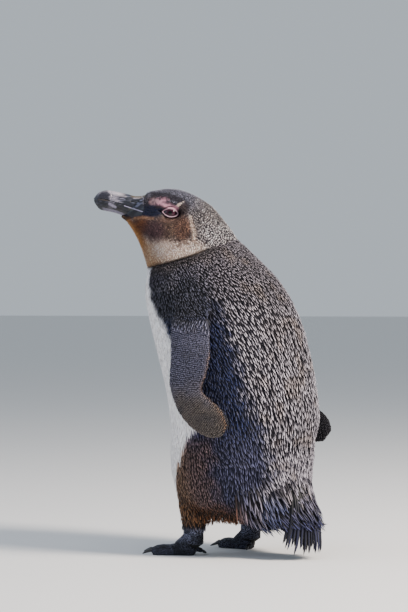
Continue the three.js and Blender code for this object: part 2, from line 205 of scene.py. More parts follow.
# %% Whole meshes as arrays
def mesh_object(name, vertices, faces):
    """A smooth-shaded mesh from an array of points and an array of triangles."""
    mesh = bpy.data.meshes.new(name)
    mesh.vertices.add(len(vertices))
    mesh.vertices.foreach_set("co", np.asarray(vertices, dtype=np.float32).ravel())
    mesh.loops.add(faces.size)
    mesh.loops.foreach_set("vertex_index", faces.ravel().astype(np.int32))
    mesh.polygons.add(len(faces))
    mesh.polygons.foreach_set("loop_start", np.arange(0, faces.size, 3, dtype=np.int32))
    mesh.update(calc_edges=True)
    mesh.polygons.foreach_set("use_smooth", np.ones(len(faces), dtype=bool))
    obj = bpy.data.objects.new(name, mesh)
    bpy.context.scene.collection.objects.link(obj)
    return obj


def coordinates(obj):
    """The places of all vertices, one row each."""
    flat = np.empty(len(obj.data.vertices) * 3, dtype=np.float32)
    obj.data.vertices.foreach_get("co", flat)
    return flat.reshape(-1, 3).astype(np.float64)


def normals(obj):
    """The outward direction at each vertex, one row each."""
    flat = np.empty(len(obj.data.vertices) * 3, dtype=np.float32)
    obj.data.vertex_normals.foreach_get("vector", flat)
    return flat.reshape(-1, 3).astype(np.float64)


def move_vertices(obj, places):
    obj.data.vertices.foreach_set("co", np.asarray(places, dtype=np.float32).ravel())
    obj.data.update()


def paint(obj, name, colours):
    """Writes one linear colour per vertex as a named attribute."""
    attribute = obj.data.color_attributes.new(name, "FLOAT_COLOR", "POINT")
    four = np.ones((len(colours), 4), dtype=np.float32)
    four[:, :3] = colours
    attribute.data.foreach_set("color", four.ravel())


# %% [markdown]
# ## Camera, lights and floor
# A long lens at bird height keeps the body's lines straight. A warm key light stands behind the bird's
# tail side, so that every feather tip on the back catches it, and a cool fill comes from the front.

# %% The camera
CAMERA_AZIMUTH = math.radians(125)
CAMERA_DISTANCE = 2.5
CAMERA_HEIGHT = 0.295
CAMERA_ASIDE = -0.0456
PICTURE_HEIGHT_PIXELS = 612
MM_PER_PIXEL = 1.2  # at the bird's own distance
SENSOR_MM = 36
PICTURE_SHIFT_PIXELS = 2  # how far the picture is shifted up without tilting the camera

towards_camera = np.array([math.sin(CAMERA_AZIMUTH), -math.cos(CAMERA_AZIMUTH), 0])
camera_right = np.array([math.cos(CAMERA_AZIMUTH), math.sin(CAMERA_AZIMUTH), 0])
camera_place = (
    BODY_ORIGIN + towards_camera * CAMERA_DISTANCE + camera_right * CAMERA_ASIDE + [0, 0, CAMERA_HEIGHT]
)
bpy.ops.object.camera_add(location=camera_place, rotation=(math.radians(90), 0, CAMERA_AZIMUTH))
camera = bpy.context.object
camera.data.sensor_fit = "VERTICAL"
camera.data.sensor_height = SENSOR_MM
camera.data.lens = SENSOR_MM * CAMERA_DISTANCE / (PICTURE_HEIGHT_PIXELS * MM_PER_PIXEL * MM)
camera.data.shift_y = PICTURE_SHIFT_PIXELS / PICTURE_HEIGHT_PIXELS
bpy.context.scene.camera = camera
print("lens", round(camera.data.lens, 1), "mm at", camera_place.round(3).tolist())

# %% Three soft lights and a pale room
MIDDLE_OF_BIRD = (0, 0, 0.24)


def soft_light(name, place, size, power, colour):
    """A square area light that looks at the middle of the bird."""
    bpy.ops.object.light_add(type="AREA", location=place)
    light = bpy.context.object
    light.name = name
    light.data.size = size
    light.data.energy = power
    light.data.color = linear(colour)
    aim = Vector(MIDDLE_OF_BIRD) - light.location
    light.rotation_euler = aim.to_track_quat("-Z", "Y").to_euler()
    print(name, "of", power, "W at", place)


soft_light("key_light", (-0.15, 2.0, 1.55), 0.6, 165, 0xFFF2E4)
soft_light("fill_light", (1.7, -1.6, 1.2), 1.8, 20, 0xDCE8FF)
soft_light("top_light", (0.5, 0.3, 2.4), 1.6, 14, 0xF4F6FF)

world = bpy.data.worlds.new("pale_studio")
world.use_nodes = True
world.node_tree.nodes["Background"].inputs["Color"].default_value = rgba(0xD4DEE8)
world.node_tree.nodes["Background"].inputs["Strength"].default_value = 0.75
bpy.context.scene.world = world

# %% The floor
FLOOR_SIZE = 120  # wide enough to reach the horizon

bpy.ops.mesh.primitive_plane_add(size=FLOOR_SIZE, location=(0, 0, 0))
floor = bpy.context.object
floor.name = "studio_floor"
floor_material, shader = new_material("matt painted board floor")
# Matt emulsion on board: even, pale, with no gloss.
shader.inputs["Base Color"].default_value = rgba(0xD8D8D8)
shader.inputs["Roughness"].default_value = 0.9
floor.data.materials.append(floor_material)
floor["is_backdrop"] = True
print("floor of", FLOOR_SIZE, "m")

# %% [markdown]
# ## The skin
# Under its coat a bird is one unbroken skin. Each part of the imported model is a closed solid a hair's
# breadth from the next, so copies of them are swollen by 0.4 mm, joined, and fused by a voxel remesh. The
# feet are fused apart, with finer voxels, and reach up inside the feathered legs. Smoothing then takes
# out the facets: strongly on the trunk, gently on the thin parts.

# %% The body and the feet, each fused into one closed mesh
BODY_NODES = ["trunk", "neck", "head", "flipper_left", "flipper_right"]
LEG_NODES = ["leg_left", "leg_right"]
FOOT_NODES = ["foot_left", "foot_right"]
EYES = ["eye_left", "eye_right"]
TAIL_STUMP_END = 0.040  # below this height the tail is feathers alone
LEG_STUMP_END = 0.034  # below this height the legs belong to the finer mesh of the feet
ANKLE_TOP = 0.044
BODY_VOXEL = 0.0026
FOOT_VOXEL = 0.0012
SWELL = 0.0004


def copy_of(node, swell=SWELL):
    """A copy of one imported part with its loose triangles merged, swollen a little."""
    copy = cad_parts[node].copy()
    copy.data = copy.data.copy()
    for key in list(copy.keys()):
        del copy[key]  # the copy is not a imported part, so it carries none of a part's labels
    bpy.context.scene.collection.objects.link(copy)
    copy.parent = None
    select_only(copy)
    bpy.ops.object.mode_set(mode="EDIT")
    bpy.ops.mesh.select_all(action="SELECT")
    bpy.ops.mesh.remove_doubles(threshold=1e-6)
    if swell:
        bpy.ops.transform.shrink_fatten(value=swell)
    bpy.ops.object.mode_set(mode="OBJECT")
    return copy


def search_tree(obj):
    """A tree that finds the nearest point of a mesh."""
    return BVHTree.FromObject(obj, bpy.context.evaluated_depsgraph_get())


def fused(name, copies, voxel):
    """One closed mesh round all the copies."""
    select_only(*copies)
    bpy.ops.object.join()
    whole = bpy.context.object
    whole.name = name
    whole.data.materials.clear()
    whole.data.remesh_voxel_size = voxel
    whole.data.remesh_voxel_adaptivity = 0
    bpy.ops.object.voxel_remesh()
    print(name, "has", len(whole.data.polygons), "faces")
    return whole


def cut_copy(node, height, side):
    """A closed copy of what one part has above a height (side 1) or below it (side -1)."""
    copy = copy_of(node)
    bpy.ops.object.mode_set(mode="EDIT")
    bpy.ops.mesh.select_all(action="SELECT")
    bpy.ops.mesh.bisect(plane_co=(0, 0, height), plane_no=(0, 0, -side), use_fill=True, clear_outer=True)
    bpy.ops.object.mode_set(mode="OBJECT")
    return copy


SKIN_NODES = BODY_NODES + LEG_NODES + FOOT_NODES + ["tail"]
part_trees = {node: search_tree(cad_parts[node]) for node in SKIN_NODES + EYES}

stumps = [cut_copy("tail", TAIL_STUMP_END, 1)] + [cut_copy(leg, LEG_STUMP_END, 1) for leg in LEG_NODES]
body = fused("body_skin", [copy_of(node) for node in BODY_NODES + EYES] + stumps, BODY_VOXEL)
ankles = [cut_copy(leg, ANKLE_TOP, -1) for leg in LEG_NODES]
feet = fused("foot_skin", ankles + [copy_of(node) for node in FOOT_NODES], FOOT_VOXEL)
select_only(body, feet)
bpy.ops.object.join()
skin = bpy.context.object
skin.name = "skin"

# %% [markdown]
# The lids need a far finer mesh than the back does. Subdividing only the faces near each eye, three
# times in ever smaller rings, grades the mesh from 2.6 mm down to a third of a millimetre. The bare rear
# plates of the bill are subdivided twice, so that their fine colour lines stay sharp.

# %% A finer mesh round the eyes and at the root of the bill
EYE_MM = np.array([45.2, 409.4])  # how far forward and up the middle of each eye opening is


def from_eye(points):
    """How far forward and up a point lies from the nearer eye's middle, and how far aside it is, in mm."""
    forward, aside, up = head_mm(points).T
    return forward - EYE_MM[0], up - EYE_MM[1], aside


def face_centres(obj):
    centres = np.empty(len(obj.data.polygons) * 3, dtype=np.float32)
    obj.data.polygons.foreach_get("center", centres)
    return centres.reshape(-1, 3)


def refine(near):
    """Cuts each chosen face of the skin into four."""
    select_only(skin)
    bpy.ops.object.mode_set(mode="EDIT")
    bpy.ops.mesh.select_all(action="DESELECT")
    bpy.ops.object.mode_set(mode="OBJECT")
    skin.data.vertices.foreach_set("select", np.zeros(len(skin.data.vertices), dtype=bool))
    skin.data.edges.foreach_set("select", np.zeros(len(skin.data.edges), dtype=bool))
    skin.data.polygons.foreach_set("select", near)
    bpy.ops.object.mode_set(mode="EDIT")
    bpy.ops.mesh.select_mode(type="FACE")
    bpy.ops.mesh.subdivide(number_cuts=1)
    bpy.ops.object.mode_set(mode="OBJECT")


for ring_mm in (23, 15, 11):
    ahead, above, aside = from_eye(face_centres(skin))
    refine((np.hypot(ahead - max(0, ring_mm - 15) * 0.5, above * 1.3) < ring_mm) & (np.abs(aside) > 6))
for _ in range(2):
    forward, aside, up = head_mm(face_centres(skin)).T
    refine((forward > 71) & (up > 402) & (np.abs(aside) < 24))
print("with finer eye rings the skin has", len(skin.data.vertices), "points")

# %% [markdown]
# ## The lie of the land
# Coat depth, smoothing and feather size all depend on which part of the bird a point is on. Each skin
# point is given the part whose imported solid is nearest, once, and all later steps read that.

# %% Which part each point of skin is on
PARTS = ["trunk", "neck", "head", "leg", "flipper", "foot", "tail"]
FLIPPER_SHOULDER_MM = 283  # above this the body's own feathers run down over the flipper
RIGHT_FLIPPER_LOWER_MM = 15


def flipper_height(points):
    """Height in mm as on the left flipper; the right one hangs lower and is measured from higher up."""
    x, y, z = body_mm(points).T
    return z + np.where(x < 0, RIGHT_FLIPPER_LOWER_MM, 0)


def nearest_part(points):
    """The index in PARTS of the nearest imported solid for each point."""
    part_of_tree = [PARTS.index(node.split("_")[0].replace("eye", "head")) for node in part_trees]
    gaps = np.array(
        [[tree.find_nearest(Vector(p))[3] for p in points] for tree in part_trees.values()]
    )
    parts = np.array(part_of_tree)[gaps.argmin(axis=0)]
    shoulder = (parts == PARTS.index("flipper")) & (flipper_height(points) > FLIPPER_SHOULDER_MM)
    return np.where(shoulder, PARTS.index("trunk"), parts)


skin_part = nearest_part(coordinates(skin))
for index, part in enumerate(PARTS):
    print(part, int((skin_part == index).sum()), end="; ")
print()

# %% Smoothing: strong on the broad parts, gentle on the thin ones
BROAD_SMOOTHING = {
    "trunk": 1, "neck": 0.8, "head": 0.3, "leg": 0.9, "flipper": 0.12, "foot": 0, "tail": 0.3
}
FINE_SMOOTHING = {part: 0.45 if part == "foot" else 1 for part in PARTS}

for title, weights, rounds in (("broad", BROAD_SMOOTHING, 60), ("fine", FINE_SMOOTHING, 8)):
    group = skin.vertex_groups.new(name=title)
    for index, part in enumerate(PARTS):
        group.add(np.flatnonzero(skin_part == index).tolist(), weights[part], "REPLACE")
    select_only(skin)
    bpy.ops.object.modifier_add(type="SMOOTH")
    skin.modifiers[-1].iterations = rounds
    skin.modifiers[-1].factor = 0.5
    skin.modifiers[-1].vertex_group = title
    bpy.ops.object.modifier_apply(modifier=skin.modifiers[-1].name)
skin.vertex_groups.clear()
print("smoothed", len(skin.data.vertices), "points")

# %% [markdown]
# The skin lies under the coat, so it is drawn in by the coat's depth: most on the trunk, least on the
# face and the flippers, and not at all on the bare feet. Blending the depth over a few millimetres keeps
# a step from forming where two parts meet.

# %% The coat's depth
COAT_DEPTH_MM = {
    "trunk": 2.6, "neck": 1.9, "head": 1.2, "leg": 2.2, "flipper": 0.7, "foot": 0.0, "tail": 2.4
}
FACE_DEPTH_MM = 0.6
SMOOTHING_LOSS_MM = 0.5  # how much the strong smoothing has drawn the broad parts in already


def neighbour_average(obj, values, rounds):
    """Each vertex's value averaged with its neighbours' again and again."""
    ends = np.empty(len(obj.data.edges) * 2, dtype=np.int32)
    obj.data.edges.foreach_get("vertices", ends)
    a, b = ends.reshape(-1, 2).T
    count = np.bincount(ends, minlength=len(values))
    for _ in range(rounds):
        total = np.bincount(a, values[b], len(values)) + np.bincount(b, values[a], len(values))
        values = 0.5 * values + 0.5 * total / np.maximum(count, 1)
    return values


CREASE_DEPTH_MM = 3.2  # the dark fold where the drawn-in neck sits on the shoulders
CREASE_HALF_WIDTH_MM = 2.0
BILL_ROOT_MM = (74, 431)  # forward and up, where the first feathers meet the horn
BILL_ROOT_NORMAL = (0.70, 0.714)
BILL_ROOT_LIFT_MM = 0.15  # there the skin stands a little proud of its solid

on_trunk, on_the_head = [skin_part == PARTS.index(part) for part in ("trunk", "head")]
above_the_legs = skin_part < PARTS.index("leg")
places = coordinates(skin)
depth = np.array([COAT_DEPTH_MM[part] for part in PARTS])[skin_part]
forward, aside, up = head_mm(places).T
on_face = on_the_head * smooth(10, 45, forward)
depth = depth + (FACE_DEPTH_MM - depth) * on_face
depth -= SMOOTHING_LOSS_MM * (on_trunk | (skin_part == PARTS.index("neck")))
turn = round_body(places)
crease_share = smooth(30, 60, turn) * smooth(165, 120, turn)
crease = np.exp(-((above_fold(places) / CREASE_HALF_WIDTH_MM) ** 2)) * (0.25 + 0.75 * crease_share)
depth = neighbour_average(skin, depth, 8) + CREASE_DEPTH_MM * crease * above_the_legs
to_bill = (forward - BILL_ROOT_MM[0]) * BILL_ROOT_NORMAL[0] + (up - BILL_ROOT_MM[1]) * BILL_ROOT_NORMAL[1]
at_bill = smooth(-7, -1.5, to_bill) * on_the_head * (forward > 60)
depth = depth * (1 - at_bill) - BILL_ROOT_LIFT_MM * at_bill
sunk = places - normals(skin) * depth[:, None] * MM
print("coat depth from", round(depth.min(), 2), "to", round(depth.max(), 2), "mm")

# %% [markdown]
# The solids are simple, so the skin also gets what they leave out: a fuller back, a brow that stands up in
# front of a lower nape, a chin that reaches forward under the bill, and a waist over the root of the tail.

# %% Back, brow, chin and waist
BILL_ROOT_SHIFT_MM = 1.5
BACK_PUFF_MM = 1.4
BROW_FORWARD_MM = [0, 10, 21, 33, 45, 57, 63, 70, 76]
BROW_RISE_MM = [-1.8, -2.6, -2.6, -1.4, 0, 1.2, 1.2, 0.7, 0.5]
CHIN_FORWARD_MM = 2.4
CHIN_RISE_MM = 1.7
WAIST_HEIGHT_MM = [64, 74, 82, 89, 96, 104, 118, 126, 132, 140, 160]
WAIST_DEPTH_MM = [0, 1.4, 5.5, 8.0, 5.5, 3.2, 2.0, 4.0, 5.0, 4.0, 0]


def head_way(forward, up):
    """The direction that points so far forward and up in the head's frame."""
    start = from_head_mm(np.array(0.0), np.array(0.0), 0.0)
    return unit(from_head_mm(np.array(float(forward)), np.array(0.0), float(up)) - start)


sunk += head_way(*BILL_ROOT_NORMAL) * (at_bill * BILL_ROOT_SHIFT_MM)[:, None] * MM
puffed = smooth(120, 160, turn) * smooth(235, 265, up) * smooth(350, 320, up) * on_trunk
sunk += normals(skin) * (puffed * BACK_PUFF_MM)[:, None] * MM
brow = np.interp(forward, BROW_FORWARD_MM, BROW_RISE_MM)
sunk[:, 2] += brow * smooth(412, 430, up) * on_the_head * MM
chin = smooth(90, 101, forward) * smooth(409, 404, up)
chin_way = head_way(1, 0) * CHIN_FORWARD_MM + np.array([0, 0, CHIN_RISE_MM])
sunk += chin_way * (chin**2)[:, None] * MM
over_tail = smooth(106, 94, up) * smooth(144, 158, turn)
waist = np.interp(up, WAIST_HEIGHT_MM, WAIST_DEPTH_MM) * smooth(118, 140, turn)
waist = waist * (1 - over_tail) * on_trunk
sunk -= normals(skin) * neighbour_average(skin, waist, 8)[:, None] * MM
move_vertices(skin, sunk)
moved = np.linalg.norm(sunk - places, axis=1) / MM
print("skin points moved by", moved.mean().round(2), "mm on average and", moved.max().round(2), "at most")

# %% [markdown]
# ## Eyelids
# An eye looks alive when it sits behind a real rim. Inside the almond of the opening the skin drops
# behind the eyeball; at its edge the lid lies on the ball and swells to a bare ridge; outside, a furrow
# parts the lid from the brow. Each point is moved sideways only, by its distance from the opening.

# %% The lids, their ridge and the furrow over them
EYEBALL_RADIUS_MM = 12.0
EYEBALL_ASIDE_MM = 15.5
OPENING_HALF_MM = (8.1, 3.7)  # the almond's half length and half height
OPENING_TILT = math.radians(9)  # the front corner is the higher one
LID_RIDGE_MM = 1.25
LID_THICKNESS_MM = 0.25
FURROW_DEPTH_MM = 0.9  # over the eye
CREASE_UNDER_MM = 0.5  # under the eye
WRINKLE_MM = 0.22
BEHIND_BALL_MM = 2.2  # how far the skin inside the opening drops behind the ball's surface


def opening_distance(ahead, above):
    """Distance outside the almond's edge in mm, and negative inside it."""
    length, height = OPENING_HALF_MM
    ahead, above = (
        ahead * math.cos(OPENING_TILT) + above * math.sin(OPENING_TILT),
        above * math.cos(OPENING_TILT) - ahead * math.sin(OPENING_TILT),
    )
    along = ahead / length
    tall = height * (1 - 0.30 * np.clip(along, 0, 1.4) ** 2)
    reach = np.hypot(along, above / tall)
    span = np.hypot(ahead, above)
    return np.where(reach > 1e-6, (reach - 1) * span / np.maximum(reach, 1e-6), -height)


def ball_reach(ahead, above):
    """How far aside the eyeball's surface lies, with an even fall-off beyond its edge."""
    return EYEBALL_ASIDE_MM + EYEBALL_RADIUS_MM - (ahead**2 + above**2) / (2 * EYEBALL_RADIUS_MM)


# %% Points round the eyes moved aside
places = coordinates(skin)
ahead, above, aside = from_eye(places)
out = opening_distance(ahead, above)
side = np.abs(aside)
near_eye = (side > 8) & (out < 9)
ridge = LID_RIDGE_MM * np.exp(-(((out - 1.4) / 0.9) ** 2))
furrow = FURROW_DEPTH_MM * np.exp(-(((out - 4.0) / 0.8) ** 2)) * smooth(-1, 3, above)
crease = CREASE_UNDER_MM * np.exp(-(((out - 3.6) / 0.7) ** 2)) * smooth(1, -3, above)
lid = ball_reach(ahead, above) + LID_THICKNESS_MM + ridge
inside = ball_reach(ahead, above) - BEHIND_BALL_MM
wrinkles = WRINKLE_MM * cloudy(places * [1, 1, 2.5], 1.6, seed=4) * smooth(1.5, 3, out)
target = np.where(out < 0, inside + (lid - inside) * smooth(-1.0, -0.15, out), lid)
share = smooth(8.5, 2.6, out)
new_side = side + (target - side) * share - (furrow + crease) * (out > 0) + wrinkles * share
new_places = from_head_mm(ahead + EYE_MM[0], np.sign(aside) * new_side, above + EYE_MM[1])
places[near_eye] = new_places[near_eye]
move_vertices(skin, places)
print("points moved for the lids:", int(near_eye.sum()))
on_rim = near_eye & (np.abs(out - 5) < 1)
rim_side = side[on_rim].mean().round(2)
ball_side = ball_reach(ahead[on_rim], above[on_rim]).mean().round(2)
print("5 mm outside the opening the skin lay", rim_side, "mm aside; the lid's ball reaches", ball_side)

# %% [markdown]
# The finished skin is cut into triangles and unwrapped. Every feather's patch of the bake map sits at its
# root's place on this unwrap, so feathers that grow side by side are baked side by side.

# %% Triangles and an unwrap of the skin
BAKE_MAP = "OFBake"

select_only(skin)
bpy.ops.object.modifier_add(type="TRIANGULATE")
bpy.ops.object.modifier_apply(modifier=skin.modifiers[-1].name)
bpy.ops.object.shade_smooth()
bpy.ops.object.mode_set(mode="EDIT")
bpy.ops.mesh.select_all(action="SELECT")
bpy.ops.uv.smart_project(angle_limit=math.radians(66), island_margin=0.002)
bpy.ops.object.mode_set(mode="OBJECT")
skin.data.uv_layers[0].name = BAKE_MAP

skin_points = coordinates(skin)
skin_normals = normals(skin)
skin_part = nearest_part(skin_points)
triangles = np.empty(len(skin.data.polygons) * 3, dtype=np.int32)
skin.data.polygons.foreach_get("vertices", triangles)
triangles = triangles.reshape(-1, 3)
skin_map = np.empty(len(skin.data.loops) * 2, dtype=np.float32)
skin.data.uv_layers[BAKE_MAP].uv.foreach_get("vector", skin_map)
skin_map = skin_map.reshape(-1, 3, 2)
skin_tree = search_tree(skin)
print("the skin has", len(triangles), "triangles, each with a place on the map")

# %% [markdown]
# ## Markings
# A juvenile has no crisp black band. Its plumage is slate above, each feather with a paler tip, and white
# below, with a brown cheek and thighs and a bare pink patch over the eye. Two colours are worked out for
# any point: the ground colour that skin and feather bases have, and the colour of the feather tips. Each
# marking is a soft mask in the head's or the trunk's own frame, laid over the ones before it.

# %% Masks: soft patches and bands
def patch(a, b, centre, half, soft=0.35):
    """1 inside an ellipse on two measures, falling to 0 over soft of its size."""
    reach = np.hypot((a - centre[0]) / half[0], (b - centre[1]) / half[1])
    return smooth(1 + soft, 1 - soft, reach)


def route_distance(a, b, route):
    """Distance on two measures from a route of points, in mm."""
    nearest = np.full(len(a), 1e9)
    for (a0, b0), (a1, b1) in zip(route, route[1:]):
        da, db = a1 - a0, b1 - b0
        share = np.clip(((a - a0) * da + (b - b0) * db) / (da * da + db * db), 0, 1)
        nearest = np.minimum(nearest, np.hypot(a - a0 - share * da, b - b0 - share * db))
    return nearest


def band(a, b, route, half_width, soft):
    """1 along a route of points, falling to 0 between half_width and half_width + soft."""
    return smooth(half_width + soft, half_width, route_distance(a, b, route))


class Plumage:
    """The ground and tip colours of a set of points. With one colour given, both are that colour."""

    def __init__(self, count, ground, tip=None):
        self.ground = np.tile(linear(ground), (count, 1))
        self.tip = np.tile(linear(ground if tip is None else tip), (count, 1))

    def layer(self, mask, ground, tip=None):
        """Lays new colours over the ones before, as far as mask goes from 0 to 1 at each point."""
        mask = np.clip(mask, 0, 1)[:, None]
        self.ground += (linear(ground) - self.ground) * mask
        self.tip += (linear(ground if tip is None else tip) - self.tip) * mask


# %% The trunk: slate back, dark blue flanks that are partly painted shade, white belly and brown thighs
BELLY_EDGE_HEIGHT_MM = [60, 93, 108, 122, 140, 152, 187, 234, 258, 272, 281, 293, 304, 322, 348]
BELLY_EDGE_ROUND = [38, 52, 62, 68, 76, 85, 77, 77, 75, 69, 64, 59, 56, 55, 56]
FLANK_EDGE_HEIGHT_MM = [60, 66, 72, 95, 130, 160, 180, 290, 310]
FLANK_EDGE_ROUND = [122, 128, 134, 142, 143, 136, 130, 127, 118]


def paint_trunk(coat, points):
    z = body_mm(points)[:, 2]
    turn = round_body(points)
    drift = cloudy(points, 9, seed=1)
    speckle = cloudy(points, 3, seed=25)
    coat.layer(smooth(270, 325, z), 0x17151B, 0x8B848E)
    coat.layer(smooth(298, 322, z) * smooth(142, 108, turn) * 0.85, 0x0C0B12, 0x7C7684)
    coat.layer(smooth(140, 165, turn) * smooth(200, 250, z) * 0.5, 0x1B191E, 0x8B858E)
    coat.layer(smooth(150, 90, z) * smooth(110, 140, turn), 0x24222D, 0xA6A1AD)
    flank_edge = np.interp(z, FLANK_EDGE_HEIGHT_MM, FLANK_EDGE_ROUND)
    blend_round = np.interp(z, [100, 180, 300], [15, 9, 7])
    shaded_flank = smooth(flank_edge + 0.8 * blend_round, flank_edge - blend_round, turn + 5 * drift + 6 * speckle)
    shaded_flank *= smooth(338, 300, z)
    # The flanks are painted a darker blue slate than the back: partly their plumage, partly painted shade.
    coat.layer(shaded_flank, 0x0A1026, 0x252E56)
    coat.layer(shaded_flank * smooth(165, 120, z), 0x12152A, 0x4B4D6A)
    shoulder = smooth(142, 104, turn) * smooth(272, 286, z) * smooth(352, 316, z + 8 * drift)
    coat.layer(shoulder, 0x080911, 0x535361)
    flecked = smooth(0.0, 0.5, cloudy(points, 17, seed=13)) * smooth(60, 80, turn) * smooth(300, 315, z)
    coat.layer(shoulder * flecked, 0x131219, 0x7C7884)
    chest = smooth(92, 60, turn) * smooth(312, 326, z)
    coat.layer(chest, 0x15121A, 0x56505E)
    collar = smooth(18, 6, above_fold(points) * -1 + 3 * drift) * smooth(172, 140, turn)
    coat.layer(collar * 0.75, 0x15110F, 0x685E5E)
    draped = smooth(84, 62, z) * smooth(116, 134, turn)
    coat.layer(draped, 0x0A0C1A, 0x555A7A)
    edge = np.interp(z, BELLY_EDGE_HEIGHT_MM, BELLY_EDGE_ROUND)
    belly = smooth(edge + 2.5, edge - 2.5, turn + 3.5 * drift + 2.5 * speckle * smooth(270, 300, z))
    thigh = smooth(154, 122, z + 5 * drift) * smooth(110, 88, turn + 6 * drift)
    coat.layer(thigh, 0x1D1416, 0x806869)
    coat.layer(thigh * smooth(84, 62, turn), 0x291A14, 0x93755F)
    coat.layer(belly, 0xE2E0E4, 0xF3F2F4)
    low = smooth(72, 50, z + 5 * drift) * smooth(140, 112, turn)
    coat.layer(low, 0x1C0F08, 0x6C4224)
    dust = smooth(0.1, 0.8, cloudy(points, 14, seed=2)) * smooth(120, 150, turn) * 0.5
    coat.layer(dust, 0x2B2322, 0x9A8B82)


# %% The bill: near black horn, a pale band behind the tip and a pale ridge, partly worn and partly painted highlight
MOUTH_FORWARD_MM = [64, 74, 87, 99, 111, 121, 128.5, 133]
MOUTH_HEIGHT_MM = [408.5, 411, 415.2, 419, 423, 426, 427.5, 427.8]
RIDGE_HEIGHT_MM = [430, 431, 430.5, 432, 434.5, 436.5, 435.5, 432]
NOSTRIL_ROUTE = [(86.5, 422.6), (93, 423.6)]
SILVER_LINES = [(2.6, 0x9C96A1), (5.4, 0x7E7E94), (8.6, 0x6A6E8A)]  # how far under the ridge in mm, colour


def horn_tones(p, q, z):
    """The horn's linear colour at places in the head's frame, streaked lengthwise as the horn grows."""
    mouth = np.interp(p, MOUTH_FORWARD_MM, MOUTH_HEIGHT_MM)
    ridge = np.interp(p, MOUTH_FORWARD_MM, RIDGE_HEIGHT_MM)
    below = smooth(0.15, -0.15, z - mouth)
    above = 1 - below
    streak = cloudy(np.stack([p * 0.13, q * 0.8, z + 0.07 * p], axis=1) * MM, 1.15, seed=21)
    mottle = cloudy(np.stack([p * 0.6, q, z], axis=1) * MM, 2.8, seed=22)
    worn = smooth(97, 107, p)
    horn = Plumage(len(p), 0x151721)
    horn.layer(above * smooth(0.2, 0.75, streak) * 0.7 * worn, 0x858391)
    horn.layer(above * smooth(0.3, 0.7, streak) * 0.55 * smooth(76, 82, p) * (1 - worn), 0x565A70)
    horn.layer(above * smooth(5.5, 2.0, ridge - z + 1.2 * mottle) * worn * 0.6, 0x6F6B74)
    horn.layer(smooth(3.2, 1.4, ridge - z + mottle) * patch(p, z, (84, 431), (9, 5)) * 0.6, 0x5C5140)
    # A painted highlight along the top of the ridge, where the light from above falls.
    glare = smooth(3.4, 0.4, ridge - z + 2.0 * streak) * smooth(97, 110, p) * smooth(123, 118, p)
    horn.layer(glare * 0.85, 0xA9A3AB)
    for drop, silver in SILVER_LINES:
        line = smooth(0.9, 0.2, np.abs(ridge - z - drop - 0.5 * mottle)) * smooth(-0.2, 0.4, streak)
        horn.layer(line * smooth(77, 82, p) * smooth(112, 104, p) * 0.9, silver)
    horn.layer(band(p, z, [(80.5, 431), (77.5, 427), (77.8, 420)], 0.2, 0.7) * 0.6, 0x85828F)
    horn.layer(band(p, z, NOSTRIL_ROUTE, 0.3, 0.9), 0x06060A)
    horn.layer(below, 0x0F1119)
    horn.layer(below * smooth(0.35, 0.85, streak) * 0.45 * smooth(88, 100, p), 0x545264)
    pale = above * smooth(104, 113, p + 4 * mottle) * smooth(121.5, 117, p + 1.5 * mottle)
    horn.layer(pale * (0.5 + 0.42 * smooth(-0.3, 0.6, streak)), 0x84808E)
    pale = below * smooth(112, 116, p + 2 * mottle + 0.2 * (z - 414)) * smooth(122, 118, p + mottle)
    horn.layer(pale * 0.45, 0x514E5B)
    horn.layer(below * band(p, z, [(119, 421), (112, 417)], 0.8, 1.4) * 0.6, 0x807C92)
    horn.layer(below * patch(p, z, (107.5, 414.5), (4.0, 2.4), 0.6) * 0.7, 0x130C0C)
    horn.layer(below * patch(p, z, (92.5, 415), (3.2, 2.2), 0.6) * 0.5, 0x4A4C42)
    lip = below * smooth(9.4, 11.0, mouth - z + 0.8 * mottle) * smooth(97, 105, p) * smooth(130, 124, p)
    horn.layer(lip * 0.6, 0x837E92)
    dark_tip = smooth(117, 121.5, p + 1.5 * mottle)
    horn.layer(dark_tip * above * smooth(-0.6, 1.2, ridge - z - 1.0 * smooth(124, 118, p)), 0x1F1E29)
    horn.layer(band(z - mouth, p, [(-0.8, 119), (-1.6, 133)], 0.2, 0.7) * 0.45, 0x54473F)
    horn.layer(band(z - mouth, p, [(-1.6, 75), (-0.9, 101)], 0.15, 0.6) * 0.8, 0x9C97B4)
    return horn.ground


# %% The head: brown cheek, buff throat, dark lores and the streaks round the eye
def throat_front(z):
    """How far forward the front edge of throat and chin lies at a height."""
    return np.interp(z, [345, 372, 385, 400, 406], [76, 81, 87, 98, 103])


